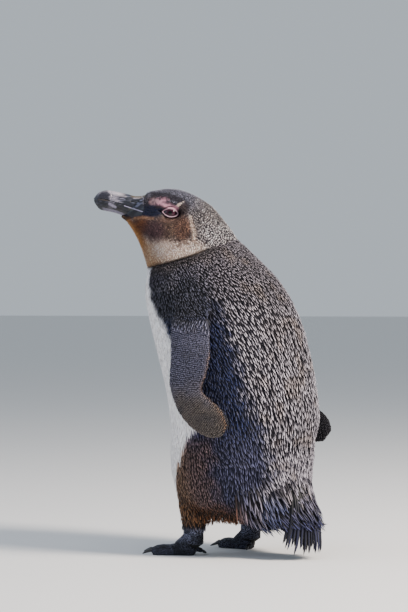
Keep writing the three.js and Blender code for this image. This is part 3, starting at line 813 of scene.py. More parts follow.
def paint_head(coat, points):
    p, q, z = head_mm(points).T
    drift = cloudy(points, 5, seed=3)
    fine = cloudy(points, 2.2, seed=5)
    fold = above_fold(points)
    coat.layer(smooth(-5, 25, p) * smooth(398, 425, z), 0x191A22, 0x86869A)
    coat.layer(smooth(408, 380, z) * smooth(16, -6, p), 0x29262C, 0xDAD3D5)
    grain = cloudy(points, 1.7, seed=27)
    speckled = smooth(30, 5, p) * smooth(372, 380, z)
    coat.layer(speckled * smooth(0.0, 0.6, grain) * 0.55, 0x121218, 0x55525A)
    coat.layer(speckled * smooth(0.0, 0.6, -grain) * 0.45, 0x3A383F, 0xEFECF0)
    crown = smooth(14, 5, np.abs(q)) * smooth(426, 433, z) * smooth(72, 62, p)
    coat.layer(crown * 0.7, 0x2B2B34, 0x9E9EAE)
    brow = band(p, z, [(66, 431.5), (48, 429), (33, 424), (26, 417)], 2.4, 2.6) * (np.abs(q) > 5)
    coat.layer(brow * 0.9, 0x0F0D17, 0x37333F)
    coat.layer(patch(p, z, (31, 412), (7, 8), 0.5), 0x1B1518, 0x4F4142)
    throat_line = 382 - (84 - p) * 0.17
    throat = smooth(throat_line + 8, throat_line - 5, z + 3 * drift + 3.5 * fine)
    throat = throat * smooth(-6, 18, p + 5 * drift)
    coat.layer(throat, 0x99857A, 0xFBE8DA)
    coat.layer(throat * smooth(0.2, 0.7, fine) * smooth(360, 376, z) * 0.85, 0x4A352B, 0x856652)
    front_width = np.interp(z, [345, 365, 380, 395], [26, 22, 14, 8])
    golden = smooth(throat_front(z) - front_width, throat_front(z) - 0.35 * front_width, p + 3 * drift)
    coat.layer(golden * smooth(400, 388, z) * 0.8, 0x866447, 0xD6B48C)
    coat.layer(patch(p, z, (80, 394), (12, 11), 0.55), 0x341C10, 0x8A5636)
    coat.layer(patch(p, z, (48, 391.5), (17, 16), 0.5), 0x291D17, 0x8A7061)
    coat.layer(patch(p, z, (30, 389), (10, 16), 0.4), 0x2C1914, 0x94705E)
    coat.layer(patch(p, z, (64, 387.5), (13, 13), 0.55), 0x1C1114, 0x6E5056)
    fleck = smooth(0.05, 0.45, fine) * smooth(402, 392, z) * smooth(60, 48, p)
    coat.layer(fleck * patch(p, z, (32, 384), (22, 18), 0.4) * 0.7, 0x1F1414, 0x503A36)
    under_eye = band(p, z, [(58, 401), (48, 399.5), (38, 401)], 1.5, 3.0)
    coat.layer(under_eye * 0.6, 0x3B2824, 0x8B6C62)
    rear_streak = band(p, z + 1.5 * drift, [(20.5, 404), (19, 394), (16, 386), (16.5, 374)], 0.9, 2.3)
    coat.layer(rear_streak * (0.62 + 0.4 * smooth(-0.3, 0.3, fine)), 0x8C7568, 0xF3DECE)
    chin_line = throat_front(z)
    chin = smooth(chin_line - 10, chin_line - 3, p) * smooth(352, 380, z)
    coat.layer(chin * 0.9, 0x6A3E1B, 0xB27A42)
    coat.layer(smooth(chin_line - 4.5, chin_line - 1, p) * smooth(352, 380, z) * 0.8, 0x8F6234, 0xD6A46A)
    coat.layer(patch(p, z, (101, 406), (8, 5), 0.5) * 0.9, 0x1A110D, 0x38251A)
    stain = smooth(12, 2, fold + 3 * drift) * smooth(25, 66, p)
    coat.layer(stain * 0.6, 0x8D6848, 0xC79C72)
    under_lores = band(p, z, [(88, 403), (76, 404.2), (66, 403)], 0.6, 2.6)
    coat.layer(under_lores * 0.8, 0x6A4A35, 0xB28C70)
    behind_bill = patch(p, z, (67, 413), (14, 9), 0.25)
    under_bill = band(p, z, [(72, 410.5), (98, 410)], 3.6, 1.4)
    coat.layer(np.maximum(behind_bill, under_bill), 0x070C1E, 0x131D3E)
    coat.layer(patch(p, z, (73, 424), (6, 6), 0.5) * 0.8, 0x1B1720, 0x3D3640)
    trail = smooth(0.25, -0.35, cloudy(points, 2.0, seed=15))
    coat.layer(band(p, z, [(38, 416.5), (33, 419.8)], 0.8, 1.2) * (0.55 + 0.45 * trail), 0xC9B0A3, 0xE6D3C6)
    coat.layer(band(p, z, [(33, 419.8), (28.8, 422.5)], 0.1, 1.1) * 0.9, 0xB7A7A2, 0xCFC3BD)


# %% The flippers: slate outside, mottled pale inside with painted shade, a rusty trailing edge partly painted rim light
# The line down the middle of the flipper, its rear edge and its middle plane, each at a set of heights.
FLIPPER_LINE_HEIGHT_MM = [146, 155, 165, 179, 198, 214, 236, 256, 280, 299, 314]
FLIPPER_LINE_Y_MM = [43, 38, 26, 9.5, -5, -4.5, -1.5, -4, -9.5, -14, -15]
FLIPPER_LINE_OUT_MM = [105, 106, 107, 108, 108, 107, 105, 101, 93, 76, 60]
FLIPPER_SIDES_HEIGHT_MM = [146, 165, 198, 236, 280, 314]
FLIPPER_REAR_MM = [38, 26, 0, 8, 5, -5]
FLIPPER_MIDDLE_OUT_MM = [105, 107, 108, 105, 93, 60]


def flipper_outward(points):
    """Positive on a flipper's outer face and negative on the face next to the trunk, in millimetres."""
    out = np.abs(body_mm(points)[:, 0])
    return out - np.interp(flipper_height(points), FLIPPER_SIDES_HEIGHT_MM, FLIPPER_MIDDLE_OUT_MM)


def paint_flipper(coat, points):
    y = body_mm(points)[:, 1]
    z = flipper_height(points)
    outer = smooth(-0.2, 0.2, flipper_outward(points))
    drift = cloudy(points, 12, seed=6)
    coat.layer(np.ones(len(points)), 0x383845, 0x7C7A92)
    coat.layer(smooth(222, 172, z + 8 * drift), 0x35302E, 0x81766F)
    worn = smooth(0.0, 0.8, cloudy(points, 9, seed=8)) * (0.35 + 0.25 * smooth(222, 190, z))
    coat.layer(worn, 0x1C1D25, 0x5E5C64)
    coat.layer(smooth(270, 286, z + 9 * drift), 0x12131A, 0x5A5A68)
    line = np.interp(z, FLIPPER_LINE_HEIGHT_MM, FLIPPER_LINE_Y_MM)
    on_edge = np.exp(-((flipper_outward(points) / 0.9) ** 2))
    # The trailing edge is painted a warm light brown: partly rusty feather edges, partly painted rim light.
    trailing = on_edge * smooth(5, 9, y - line) * smooth(262, 250, z)
    coat.layer(trailing * 0.6, 0x3C2A1E, 0xA87C55)
    under = 1 - outer
    coat.layer(under, 0x6F6D73, 0xA9A7AC)
    coat.layer(under * smooth(0.0, 0.35, cloudy(points, 11, seed=7)), 0x34343C, 0x5A5A63)
    # The inner face darkens behind its rear line and towards the tip: partly its own dark margin, partly
    # painted shade.
    behind = smooth(-4, 8, y - np.interp(z, FLIPPER_SIDES_HEIGHT_MM, FLIPPER_REAR_MM))
    coat.layer(under * np.maximum(behind, smooth(190, 170, z)), 0x17171D, 0x33333B)


# %% Bare skin: the pink patch, the lids and the rear plates of the bill
PINK_PATCH = [(67, 422.5), (58, 421), (50, 419), (43, 415.5)]
HORN_EDGE_HEIGHT_MM = [404, 411, 418, 425, 431]
HORN_EDGE_MM = [73, 75, 77.5, 78, 75]


def bare_plates(points):
    """1 on the rear plates of the bill, which lie on the head in front of its first feathers."""
    p, q, z = head_mm(points).T
    edge = np.interp(z, HORN_EDGE_HEIGHT_MM, HORN_EDGE_MM)
    foot = np.interp(p, [75, 85, 93, 99], [406.8, 405.8, 404.8, 409])
    return smooth(edge - 0.5, edge + 0.7, p) * smooth(foot - 0.3, foot + 0.7, z) * (np.abs(q) < 19)


def bare_skin(points):
    """How bare the skin is: 1 on the lids and on the pink patch between eye and bill, 0 under feathers."""
    p, q, z = head_mm(points).T
    out = opening_distance(p - EYE_MM[0], z - EYE_MM[1])
    rim = smooth(3.6, 2.5, out)
    pink = band(p, z + 0.9 * cloudy(points, 3, seed=9), PINK_PATCH, 3.6, 1.8)
    return np.maximum(np.maximum(rim, pink) * (np.abs(q) > 7), bare_plates(points))


def paint_bare_skin(coat, points):
    p, q, z = head_mm(points).T
    out = opening_distance(p - EYE_MM[0], z - EYE_MM[1])
    blotch = cloudy(points, 2.4, seed=10)
    aside = np.abs(q) > 7
    streaks = cloudy(np.stack([p, q * 0.3, z * 0.45], axis=1) * MM, 1.5, seed=16)
    coat.layer(bare_skin(points), 0x3F2C36)
    pink = patch(p + 2 * blotch, z + 1.5 * blotch, (54, 422.5), (7.5, 5.5), 0.5) * aside
    coat.layer(pink * smooth(0.5, -0.25, streaks), 0x9F7181)
    specks = smooth(0.45, 0.8, cloudy(points, 1.3, seed=26))
    coat.layer(pink * specks * 0.6, 0x4A303A)
    tan = patch(p + 2 * blotch, z + 1.5 * blotch, (65, 423), (5.5, 4.8), 0.6) * aside
    coat.layer(tan * smooth(0.4, -0.4, streaks) * 0.8, 0x8A7072)
    lid_streak = band(p, z + blotch, [(51, 418.5), (43, 416), (37, 414.5)], 1.2, 2.2) * aside
    coat.layer(lid_streak * 0.9, 0xA67888)
    coat.layer(patch(p, z, (58.5, 416.5), (4.5, 2.2), 0.6) * aside, 0x1C121A)
    coat.layer(smooth(4.4, 3.0, out) * smooth(-2.0, -4.0, z - EYE_MM[1]) * aside * 0.7, 0x2A1D1F)
    ridge = smooth(2.0, 1.5, out) * smooth(0.45, 0.85, out) * aside
    coat.layer(ridge, 0xA88A96)
    coat.layer(ridge * smooth(43, 36, p) * 0.7, 0x7C6370)
    coat.layer(ridge * smooth(1.0, 3.0, z - EYE_MM[1]) * 0.6, 0xA87886)
    coat.layer(ridge * smooth(0.3, 0.8, streaks) * 0.4, 0x6B5560)
    coat.layer(smooth(0.65, 0.25, out) * aside, 0x180D13)
    plates = bare_plates(points)
    horn = horn_tones(p, q, z)
    coat.ground += (horn - coat.ground) * plates[:, None]


# %% All the markings together, with legs, feet and tail
def plumage(points, parts):
    """The ground and tip colours of points on the given parts."""
    coat = Plumage(len(points), 0x201E27, 0xB3AEB9)
    paint_trunk(coat, points)
    head = Plumage(len(points), 0x2B282D, 0x9D9592)
    paint_head(head, points)
    paint_bare_skin(head, points)
    on_flipper, on_leg, on_tail = [parts == PARTS.index(part) for part in ("flipper", "leg", "tail")]
    if on_flipper.any():
        flipper = Plumage(int(on_flipper.sum()), 0)
        paint_flipper(flipper, points[on_flipper])
        coat.ground[on_flipper], coat.tip[on_flipper] = flipper.ground, flipper.tip
    fold = above_fold(points)
    on_head = (parts < PARTS.index("leg")) & (fold > 0)
    coat.ground[on_head], coat.tip[on_head] = head.ground[on_head], head.tip[on_head]
    turn = round_body(points)
    # Painted shade: the fold where the neck sits on the shoulders is painted near black, on skin and
    # feathers.
    crease = np.exp(-(((fold + 0.5) / 2.2) ** 2)) * smooth(30, 55, turn) * smooth(165, 125, turn)
    coat.layer(crease * (parts < PARTS.index("leg")), 0x0C0C10, 0x232228)
    height = body_mm(points)[:, 2]
    coat.layer(on_leg, 0x21150D, 0x7A5638)
    bare_foot = np.maximum(parts == PARTS.index("foot"), on_leg * smooth(36, 32, height))
    blotch = smooth(-0.3, 0.6, cloudy(points, 9, seed=17))
    coat.layer(bare_foot, 0x0B0C12, 0x7A7F9A)
    coat.layer(bare_foot * blotch, 0x0A0B10, 0x30333F)
    coat.layer(bare_foot * smooth(26, 13, height) * 0.75, 0x06070A, 0x2C2F3C)
    coat.layer(on_tail, 0x0E0D1A, 0x6F6B7D)
    coat.layer(on_tail * smooth(75, 40, height), 0x080811, 0x34375A)
    return coat


skin_coat = plumage(skin_points, skin_part)
paint(skin, "Ground", skin_coat.ground)
paint(skin, "Tip", skin_coat.tip)
print("mean ground colour", skin_coat.ground.mean(axis=0).round(3).tolist())

# %% [markdown]
# ## The skin's finish
# Between the feathers the skin is matt and dark. Round the eye it is bare: moist, slightly soft and finely
# creased, so it has a lower roughness and a pebbled bump. One attribute says how bare each point is.

# %% The skin's material
bare_amount = bare_skin(skin_points)
paint(skin, "Bare", np.repeat(bare_amount[:, None], 3, axis=1))
skin_material, shader = new_material("feathered skin, bare round the eye")
# Living skin: a soft sheen where it is bare and none where down covers it.
ground = add_node(skin_material, "ShaderNodeAttribute", attribute_name="Ground")
bare = add_node(skin_material, "ShaderNodeAttribute", attribute_name="Bare")
link(skin_material, ground.outputs["Color"], shader.inputs["Base Color"])
gloss = add_node(
    skin_material, "ShaderNodeMapRange", {"To Min": 0.85, "To Max": 0.42}, {"Value": bare.outputs["Fac"]}
)
link(skin_material, gloss.outputs["Result"], shader.inputs["Roughness"])
shader.inputs["Specular IOR Level"].default_value = 0.35
place = add_node(skin_material, "ShaderNodeTexCoord")
pebbles = add_node(
    skin_material,
    "ShaderNodeTexVoronoi",
    {"Scale": 1 / 0.0011},  # pebbles of bare skin are about 1.1 mm across
    {"Vector": place.outputs["Object"]},
)
bump = add_node(
    skin_material,
    "ShaderNodeBump",
    {"Strength": 0.35, "Distance": 0.0003},
    {"Height": pebbles.outputs["Distance"]},
)
link(skin_material, bump.outputs["Normal"], shader.inputs["Normal"])
skin.data.materials.append(skin_material)
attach(skin, "root")
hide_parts(*SKIN_NODES)
print("bare skin on", int((bare_amount > 0.5).sum()), "of", len(bare_amount), "points")

# %% [markdown]
# ## The lie of the feathers
# Feathers point away from the bill over the face, and then down and backwards over the body. On the
# flippers they follow the limb to its tip. A rough guide direction is enough: laid flat on the skin at
# each root, it turns smoothly round the bird by itself.

# %% The direction in which feathers point
BILL_BASE_MM = (84, 0, 413)
BACK_SLANT_HEIGHT_MM = [60, 110, 150, 180, 230, 300]
BACK_SLANT = [0.75, 0.6, 0.42, 0.45, 0.72, 0.95]
LIMB_STEP_MM = 6  # the height over which the flipper's direction is taken
TOE_WAY = (0, -1.0, -0.55)


def laid_flat(directions, surface_normals):
    """Directions with their part across the skin taken out."""
    rise = (directions * surface_normals).sum(axis=1, keepdims=True)
    return unit(directions - surface_normals * rise)


def lie(points, surface_normals, parts):
    """The direction of a feather that grows at each point."""
    x, y, z = body_mm(points).T
    turn = round_body(points)
    behind = smooth(70, 110, turn)
    slant = np.interp(z, BACK_SLANT_HEIGHT_MM, BACK_SLANT) * behind
    slant = np.where(z < 115, slant * smooth(105, 145, turn), slant)
    guide = unit(np.stack([np.zeros_like(x), slant, -np.ones_like(x)], axis=1))
    base = from_head_mm(np.array(BILL_BASE_MM[0]), np.array(0.0), BILL_BASE_MM[2])
    away = unit(points - base)
    reach = np.linalg.norm(points - base, axis=1) / MM
    body_share = smooth(45, 125, reach)[:, None]
    on_head = np.isin(parts, [PARTS.index("head"), PARTS.index("neck")])[:, None]
    guide = np.where(on_head, unit(away * (1 - body_share) + guide * body_share * 1.2), guide)
    on_flipper = parts == PARTS.index("flipper")
    level = flipper_height(points)
    below, above = level - LIMB_STEP_MM / 2, level + LIMB_STEP_MM / 2
    step_y, step_out = [
        np.interp(below, FLIPPER_LINE_HEIGHT_MM, line) - np.interp(above, FLIPPER_LINE_HEIGHT_MM, line)
        for line in (FLIPPER_LINE_Y_MM, FLIPPER_LINE_OUT_MM)
    ]
    along_flipper = unit(np.stack([step_out * np.sign(x), step_y, np.full_like(x, -LIMB_STEP_MM)], axis=1))
    guide[on_flipper] = along_flipper[on_flipper]
    guide[parts == PARTS.index("foot")] = unit(np.array(TOE_WAY))
    return laid_flat(guide, surface_normals)


# %% [markdown]
# ## Roots
# Feathers grow in even but not gridded rows. Random roots are thrown on the skin, several times too many,
# and any root too near an earlier one is taken out again; near means inside an ellipse, longer along the
# feather than across it. That gives an even spread with no clumps and no visible grid.

# %% Spreading the roots
CROWD = 4.5  # roots thrown for each one that is wanted


def too_near(points, flow, across, along):
    """All pairs of points that lie in each other's ellipse, as two arrays of indices, first < second."""
    cell = along.max()
    grid = np.floor((points - points.min(axis=0)) / cell).astype(np.int64)
    size = grid.max(axis=0) + 3
    code = (grid[:, 0] * size[1] + grid[:, 1]) * size[2] + grid[:, 2]
    order = np.argsort(code, kind="stable")
    ranked = code[order]
    firsts, seconds = [], []
    for shift in range(27):
        dx, dy, dz = shift // 9 - 1, shift // 3 % 3 - 1, shift % 3 - 1
        wanted = code + (dx * size[1] + dy) * size[2] + dz
        start = np.searchsorted(ranked, wanted, "left")
        count = np.searchsorted(ranked, wanted, "right") - start
        first = np.repeat(np.arange(len(points)), count)
        offset = np.arange(count.sum()) - np.repeat(np.cumsum(count) - count, count)
        second = order[np.repeat(start, count) + offset]
        keep = first < second
        first, second = first[keep], second[keep]
        gap = points[second] - points[first]
        lengthwise = (gap * flow[first]).sum(axis=1)
        sideways = np.maximum((gap * gap).sum(axis=1) - lengthwise**2, 0)
        close = (lengthwise / along[first]) ** 2 + sideways / across[first] ** 2 < 1
        firsts.append(first[close])
        seconds.append(second[close])
    return np.concatenate(firsts), np.concatenate(seconds)


def thin_out(points, flow, across, along):
    """Indices of an even spread: each kept point is the first of all that are too near it."""
    first, second = too_near(points, flow, across, along)
    state = np.zeros(len(points), dtype=np.int8)
    while (state == 0).any():
        open_pair = (state[first] == 0) & (state[second] == 0)
        first, second = first[open_pair], second[open_pair]
        blocked = np.zeros(len(points), dtype=bool)
        blocked[second] = True
        state[(state == 0) & ~blocked] = 1
        state[second[state[first] == 1]] = -1
    return np.flatnonzero(state == 1)


# %% Roots over one region
def spread_roots(chosen, spacing, seed):
    """An even spread of roots over the chosen triangles; spacing(points) gives across and along in mm."""
    rng = np.random.default_rng(seed)
    corners = skin_points[triangles]
    middle = corners.mean(axis=1)
    side_a, side_b = corners[:, 1] - corners[:, 0], corners[:, 2] - corners[:, 0]
    area = np.linalg.norm(np.cross(side_a, side_b), axis=1) / 2
    across, along = spacing(middle)
    weight = np.where(chosen, area / (across * along * MM * MM), 0)
    total = np.cumsum(weight)
    count = int(total[-1] * CROWD)
    picked = np.minimum(np.searchsorted(total, rng.random(count) * total[-1]), len(triangles) - 1)
    a, b = rng.random((2, count))
    flip = a + b > 1
    a, b = np.where(flip, 1 - a, a), np.where(flip, 1 - b, b)
    share = np.stack([1 - a - b, a, b], axis=1)[:, :, None]
    points = (corners[picked] * share).sum(axis=1)
    surface_normals = unit((skin_normals[triangles[picked]] * share).sum(axis=1))
    parts = skin_part[triangles[picked, 0]]
    flow = lie(points, surface_normals, parts)
    across, along = spacing(points)
    kept = thin_out(points, flow, across * MM, along * MM)
    place = (skin_map[picked[kept]] * share[kept]).sum(axis=1)
    return {
        "points": points[kept],
        "normals": surface_normals[kept],
        "flow": flow[kept],
        "parts": parts[kept],
        "map": place,
        "across": across[kept],
        "along": along[kept],
        "rng": rng,
    }


# %% [markdown]
# ## One feather
# Each contour feather is a closed wedge: a root hidden in the coat, two or three cross-sections of a left
# edge, a raised shaft and a right edge, and a tip. Its tip is laid over the skin further on, so it bends
# with the body. A dozen or so triangles are enough, because there are many thousands of feathers.

# %% Growing feathers as one joined mesh
PATCH = 0.003  # how wide each feather's patch of the bake map is
MAP_SPAN = 0.99  # how much of the bake map the roots take up
MAP_MARGIN = 0.004
ROOT_DEPTH_MM = 0.3  # how deep each root is set in the skin
COLOUR_AT = 0.7  # a feather takes the colour of the place it reaches over, at this share of its length


def wedge_faces(stations):
    """Triangles of one feather: vertex 0 is its root, three follow for each station, then comes its tip."""
    tip = 3 * stations + 1
    faces = [(0, 3, 2), (0, 2, 1), (0, 1, 3)]
    for station in range(stations - 1):
        left, ridge, right = 3 * station + 1, 3 * station + 2, 3 * station + 3
        left2, ridge2, right2 = left + 3, ridge + 3, right + 3
        faces += [(right, right2, ridge2), (right, ridge2, ridge)]
        faces += [(ridge, ridge2, left2), (ridge, left2, left)]
        faces += [(left, left2, right2), (left, right2, right)]
    return np.array(faces + [(tip - 1, tip, tip - 2), (tip - 2, tip, tip - 3), (tip - 3, tip, tip - 1)])


def grow(name, roots, shape, length, width, lift, slot, material, hang=0.0, worn=0.28, ridge_height=0.18):
    """One coat piece. shape is [(share of length, share of width)]; length, width and lift are in mm.
    hang is how far a tip keeps off the skin: 0 lies on it, 1 stands straight out. worn is how much the
    brightness of the tips differs from feather to feather."""
    rng = roots["rng"]
    points, up, flow = roots["points"], roots["normals"], roots["flow"]
    count = len(points)
    one = np.ones(count)
    length = one * length * rng.normal(1, 0.09, count).clip(0.7, 1.3)
    width = one * width * rng.normal(1, 0.07, count).clip(0.8, 1.2)
    lift = one * lift * rng.normal(1, 0.16, count).clip(0.5, 1.6)
    aside = np.cross(flow, up)
    swerve = rng.normal(0, 0.10, count)[:, None]
    flow = unit(flow * np.cos(swerve) + aside * np.sin(swerve))
    end = points + flow * length[:, None] * MM
    landing = [skin_tree.find_nearest(Vector(p)) for p in end]
    laid = np.array([hit[0] for hit in landing])
    hang = (one * hang)[:, None]
    end = laid + (end - laid) * hang
    forward = unit(end - points)
    aside = unit(np.cross(forward, up))
    over = np.cross(aside, forward)
    rows = [points - up * ROOT_DEPTH_MM * MM]
    steps = [(0.5, 0.0)]
    for share, breadth in shape:
        rise = (lift * np.sin(share * math.pi / 2) ** 0.8)[:, None] * MM
        middle = points + (end - points) * share + over * rise
        half = aside * (width * breadth / 2)[:, None] * MM
        crown = over * (width * breadth * ridge_height)[:, None] * MM
        rows += [middle - half, middle + crown, middle + half]
        steps += [(0.0, share), (0.5, share), (1.0, share)]
    rows.append(end + over * lift[:, None] * MM)
    steps.append((0.5, 1.0))
    vertices = np.stack(rows, axis=1)
    per_feather = vertices.shape[1]
    faces = wedge_faces(len(shape))
    all_faces = faces[None] + np.arange(count)[:, None, None] * per_feather
    obj = mesh_object(name, vertices.reshape(-1, 3), all_faces.reshape(-1, 3))
    coat = plumage(points + flow * (length * COLOUR_AT)[:, None] * MM, roots["parts"])
    shade = rng.normal(1, 0.16, (count, 1)).clip(0.6, 1.5)
    bleach = np.exp(rng.normal(0, worn, (count, 1))).clip(0.4, 1.7)
    for title, colours in (("Ground", coat.ground * shade), ("Tip", np.minimum(coat.tip * bleach, 0.92))):
        paint(obj, title, np.repeat(colours, per_feather, axis=0))
    steps = np.array(steps)
    corner = faces.ravel()
    vane_map = np.tile(steps[corner], (count, 1))
    low, high = roots["map"].min(axis=0), roots["map"].max(axis=0)
    spread = (roots["map"] - low) / (high - low).max() * MAP_SPAN + MAP_MARGIN
    bake_map = np.repeat(spread, len(corner), axis=0) + (vane_map - 0.5) * PATCH
    for title, values in ((BAKE_MAP, bake_map), ("Vane", vane_map)):
        layer = obj.data.uv_layers.new(name=title)
        layer.uv.foreach_set("vector", values.astype(np.float32).ravel())
    obj.data.materials.append(material)
    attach(obj, "root")
    print(name, count, "feathers,", len(obj.data.polygons), "triangles")
    return obj


# %% [markdown]
# ## The vane's finish
# A contour feather is keratin: a shaft with barbs hooked into a vane. It is matt, with a faint sheen at a
# low angle. The ground colour fills it, and the tip colour comes in towards the end, between dark edges,
# which is what makes the back look dashed. That contrast is partly the plumage's own and partly painted:
# the pale tips stand in for highlights, and the dark edges and bases for the shade between feathers.

# %% One vane material, and five finishes made from it
def feather_material(name, tip_from, tip_to, edge, roughness, sheen):
    """tip_from and tip_to are shares of the length; edge is how much of the half width stays light."""
    material, shader = new_material(name)
    ground = add_node(material, "ShaderNodeAttribute", attribute_name="Ground")
    tip = add_node(material, "ShaderNodeAttribute", attribute_name="Tip")
    vane = add_node(material, "ShaderNodeUVMap", uv_map="Vane")
    split = add_node(material, "ShaderNodeSeparateXYZ", links={"Vector": vane.outputs["UV"]})
    off_shaft = add_node(material, "ShaderNodeMath", operation="SUBTRACT")
    link(material, split.outputs["X"], off_shaft.inputs[0])
    off_shaft.inputs[1].default_value = 0.5
    beside = add_node(material, "ShaderNodeMath", operation="ABSOLUTE")
    link(material, off_shaft.outputs[0], beside.inputs[0])
    ranges = {"interpolation_type": "SMOOTHSTEP"}
    towards_tip = add_node(
        material,
        "ShaderNodeMapRange",
        {"From Min": tip_from, "From Max": tip_to},
        {"Value": split.outputs["Y"]},
        **ranges,
    )
    inside = add_node(
        material,
        "ShaderNodeMapRange",
        {"From Min": edge * 0.5, "From Max": edge * 0.5 - 0.16},
        {"Value": beside.outputs[0]},
        **ranges,
    )
    both = add_node(material, "ShaderNodeMath", operation="MULTIPLY")
    link(material, towards_tip.outputs["Result"], both.inputs[0])
    link(material, inside.outputs["Result"], both.inputs[1])
    mixed = add_node(material, "ShaderNodeMix", data_type="RGBA")
    link(material, both.outputs[0], mixed.inputs["Factor"])
    link(material, ground.outputs["Color"], mixed.inputs["A"])
    link(material, tip.outputs["Color"], mixed.inputs["B"])
    link(material, mixed.outputs["Result"], shader.inputs["Base Color"])
    shader.inputs["Roughness"].default_value = roughness
    shader.inputs["Specular IOR Level"].default_value = 0.22
    shader.inputs["Sheen Weight"].default_value = sheen
    shader.inputs["Sheen Roughness"].default_value = 0.4
    return material


# Dark keratin with pale tips, partly worn and partly painted highlight: dashes on a near-black ground that
# is partly painted shade.
back_vane = feather_material("slate contour feather, pale tip", 0.44, 0.80, 0.66, 0.55, 0.03)
# Short dense feathers of head and neck: the tip colour covers more of each.
head_vane = feather_material("short head feather", 0.48, 0.8, 0.80, 0.6, 0.02)
# White belly feathers: soft, with hardly any ground showing.
belly_vane = feather_material("white belly feather", 0.1, 0.5, 1.5, 0.6, 0.05)
# Flipper feathers are like scales: tiny, stiff, glossier, with a light rim at the end.
flipper_vane = feather_material("scale-like flipper feather", 0.55, 0.9, 1.5, 0.42, 0.03)
# Scales of the feet: hard, slightly polished plates, darker in the joints between them.
scale_plate = feather_material("horny foot scale", 0.15, 0.5, 0.85, 0.38, 0.0)
for vane in (back_vane, head_vane, belly_vane, flipper_vane, scale_plate):
    print("finish:", vane.name, "with", len(vane.node_tree.nodes), "nodes")

# %% [markdown]
# ## The coat
# The coat is grown region by region, so that each piece stays light enough to handle and each kind of
# feather keeps its own shape: long and narrow on the back, tiny on the face, scale-like on the flippers.

# %% Where each triangle of skin lies
EYE_CLEAR_MM = 2.6  # no feather grows nearer to the opening of the eye than this

middles = skin_points[triangles].mean(axis=1)
triangle_part = skin_part[triangles[:, 0]]
middle_turn = round_body(middles)
middle_height = body_mm(middles)[:, 2]
triangle_bare = bare_skin(middles) > 0.4
is_part = {part: triangle_part == PARTS.index(part) for part in PARTS}
ahead, above, aside = from_eye(middles)
in_eye = (opening_distance(ahead, above) < EYE_CLEAR_MM) & (np.abs(aside) > 8)
print({part: int(chosen.sum()) for part, chosen in is_part.items()}, "triangles")

# %% Feather shapes and how densely they grow
BLUNT = [(0.28, 0.85), (0.62, 1.0), (0.87, 0.72)]  # (share of length, share of width)
SHORT = [(0.35, 0.9), (0.78, 0.85)]
SLIM = [(0.3, 0.9), (0.7, 0.8)]


def head_spacing(points):
    """Feathers are packed tightest at the bill and loosen towards the neck."""
    reach = np.linalg.norm(head_mm(points) - BILL_BASE_MM, axis=1)
    grown = smooth(30, 115, reach)
    return 0.78 + 0.40 * grown, 1.45 + 0.95 * grown


def body_spacing(points):
    """Small on the shoulders and the flanks, and longest on the back."""
    grown = smooth(372, 275, body_mm(points)[:, 2])
    behind = smooth(95, 135, round_body(points))
    return 1.15 + (0.15 + 0.35 * behind) * grown, 2.3 + (1.1 + 2.1 * behind) * grown


def belly_spacing(points):
    return np.full(len(points), 1.5), np.full(len(points), 3.6)


def flipper_spacing(points):
    return np.full(len(points), 1.0), np.full(len(points), 1.6)


def scale_spacing(points):
    return np.full(len(points), 1.2), np.full(len(points), 1.2)


# %% Rows on the flippers, and room for the fold
def in_rows(roots, row_mm):
    """Moves each root along its feather to the nearest of a set of evenly spaced rows."""
    y = body_mm(roots["points"])[:, 1]
    level = flipper_height(roots["points"])
    line = np.stack([FLIPPER_LINE_Y_MM, FLIPPER_LINE_HEIGHT_MM], axis=1)[::-1].astype(float)
    spans = np.linalg.norm(np.diff(line, axis=0), axis=1)
    best, along = np.full(len(y), 1e9), np.zeros(len(y))
    for number, (start, end) in enumerate(zip(line, line[1:])):
        way = (end - start) / spans[number]
        share = (y - start[0]) * way[0] + (level - start[1]) * way[1]
        held = np.clip(share, 0, spans[number])
        off = np.hypot(y - start[0] - held * way[0], level - start[1] - held * way[1])
        nearer = off < best
        best = np.where(nearer, off, best)
        along = np.where(nearer, spans[:number].sum() + share, along)
    shift = np.round(along / row_mm) * row_mm - along
    roots["points"] = roots["points"] + roots["flow"] * shift[:, None] * MM
    return roots


def clear_of_fold(roots, size):
    """Feather lengths cut short where they would cover the dark fold under the neck."""
    room = above_fold(roots["points"])
    turn = round_body(roots["points"])
    folded = smooth(25, 50, turn) * smooth(170, 140, turn)
    limit = np.where(room > 0, np.maximum(room - 0.3, 1.2), 99)
    return np.minimum(size, limit * folded + 99 * (1 - folded))


# %% Feathers of head and neck
head_area = (is_part["head"] | is_part["neck"]) & ~triangle_bare & ~in_eye
head_roots = spread_roots(head_area, head_spacing, 11)
size = head_roots["along"]
length = clear_of_fold(head_roots, size * 2.1)
lift = 0.35 + size * 0.42
grow("head_feathers", head_roots, SHORT, length, size * 0.56, lift, "head_plumage", head_vane, worn=0.4)

# %% Feathers of the back, laid in one spread and kept as four pieces
FLIPPER_TOP_MM = 275  # above this the flippers wear body feathers, not scales
SHOULDER_LOW_MM, BACK_MIDDLE_MM, RUMP_TOP_MM = 285, 200, 110

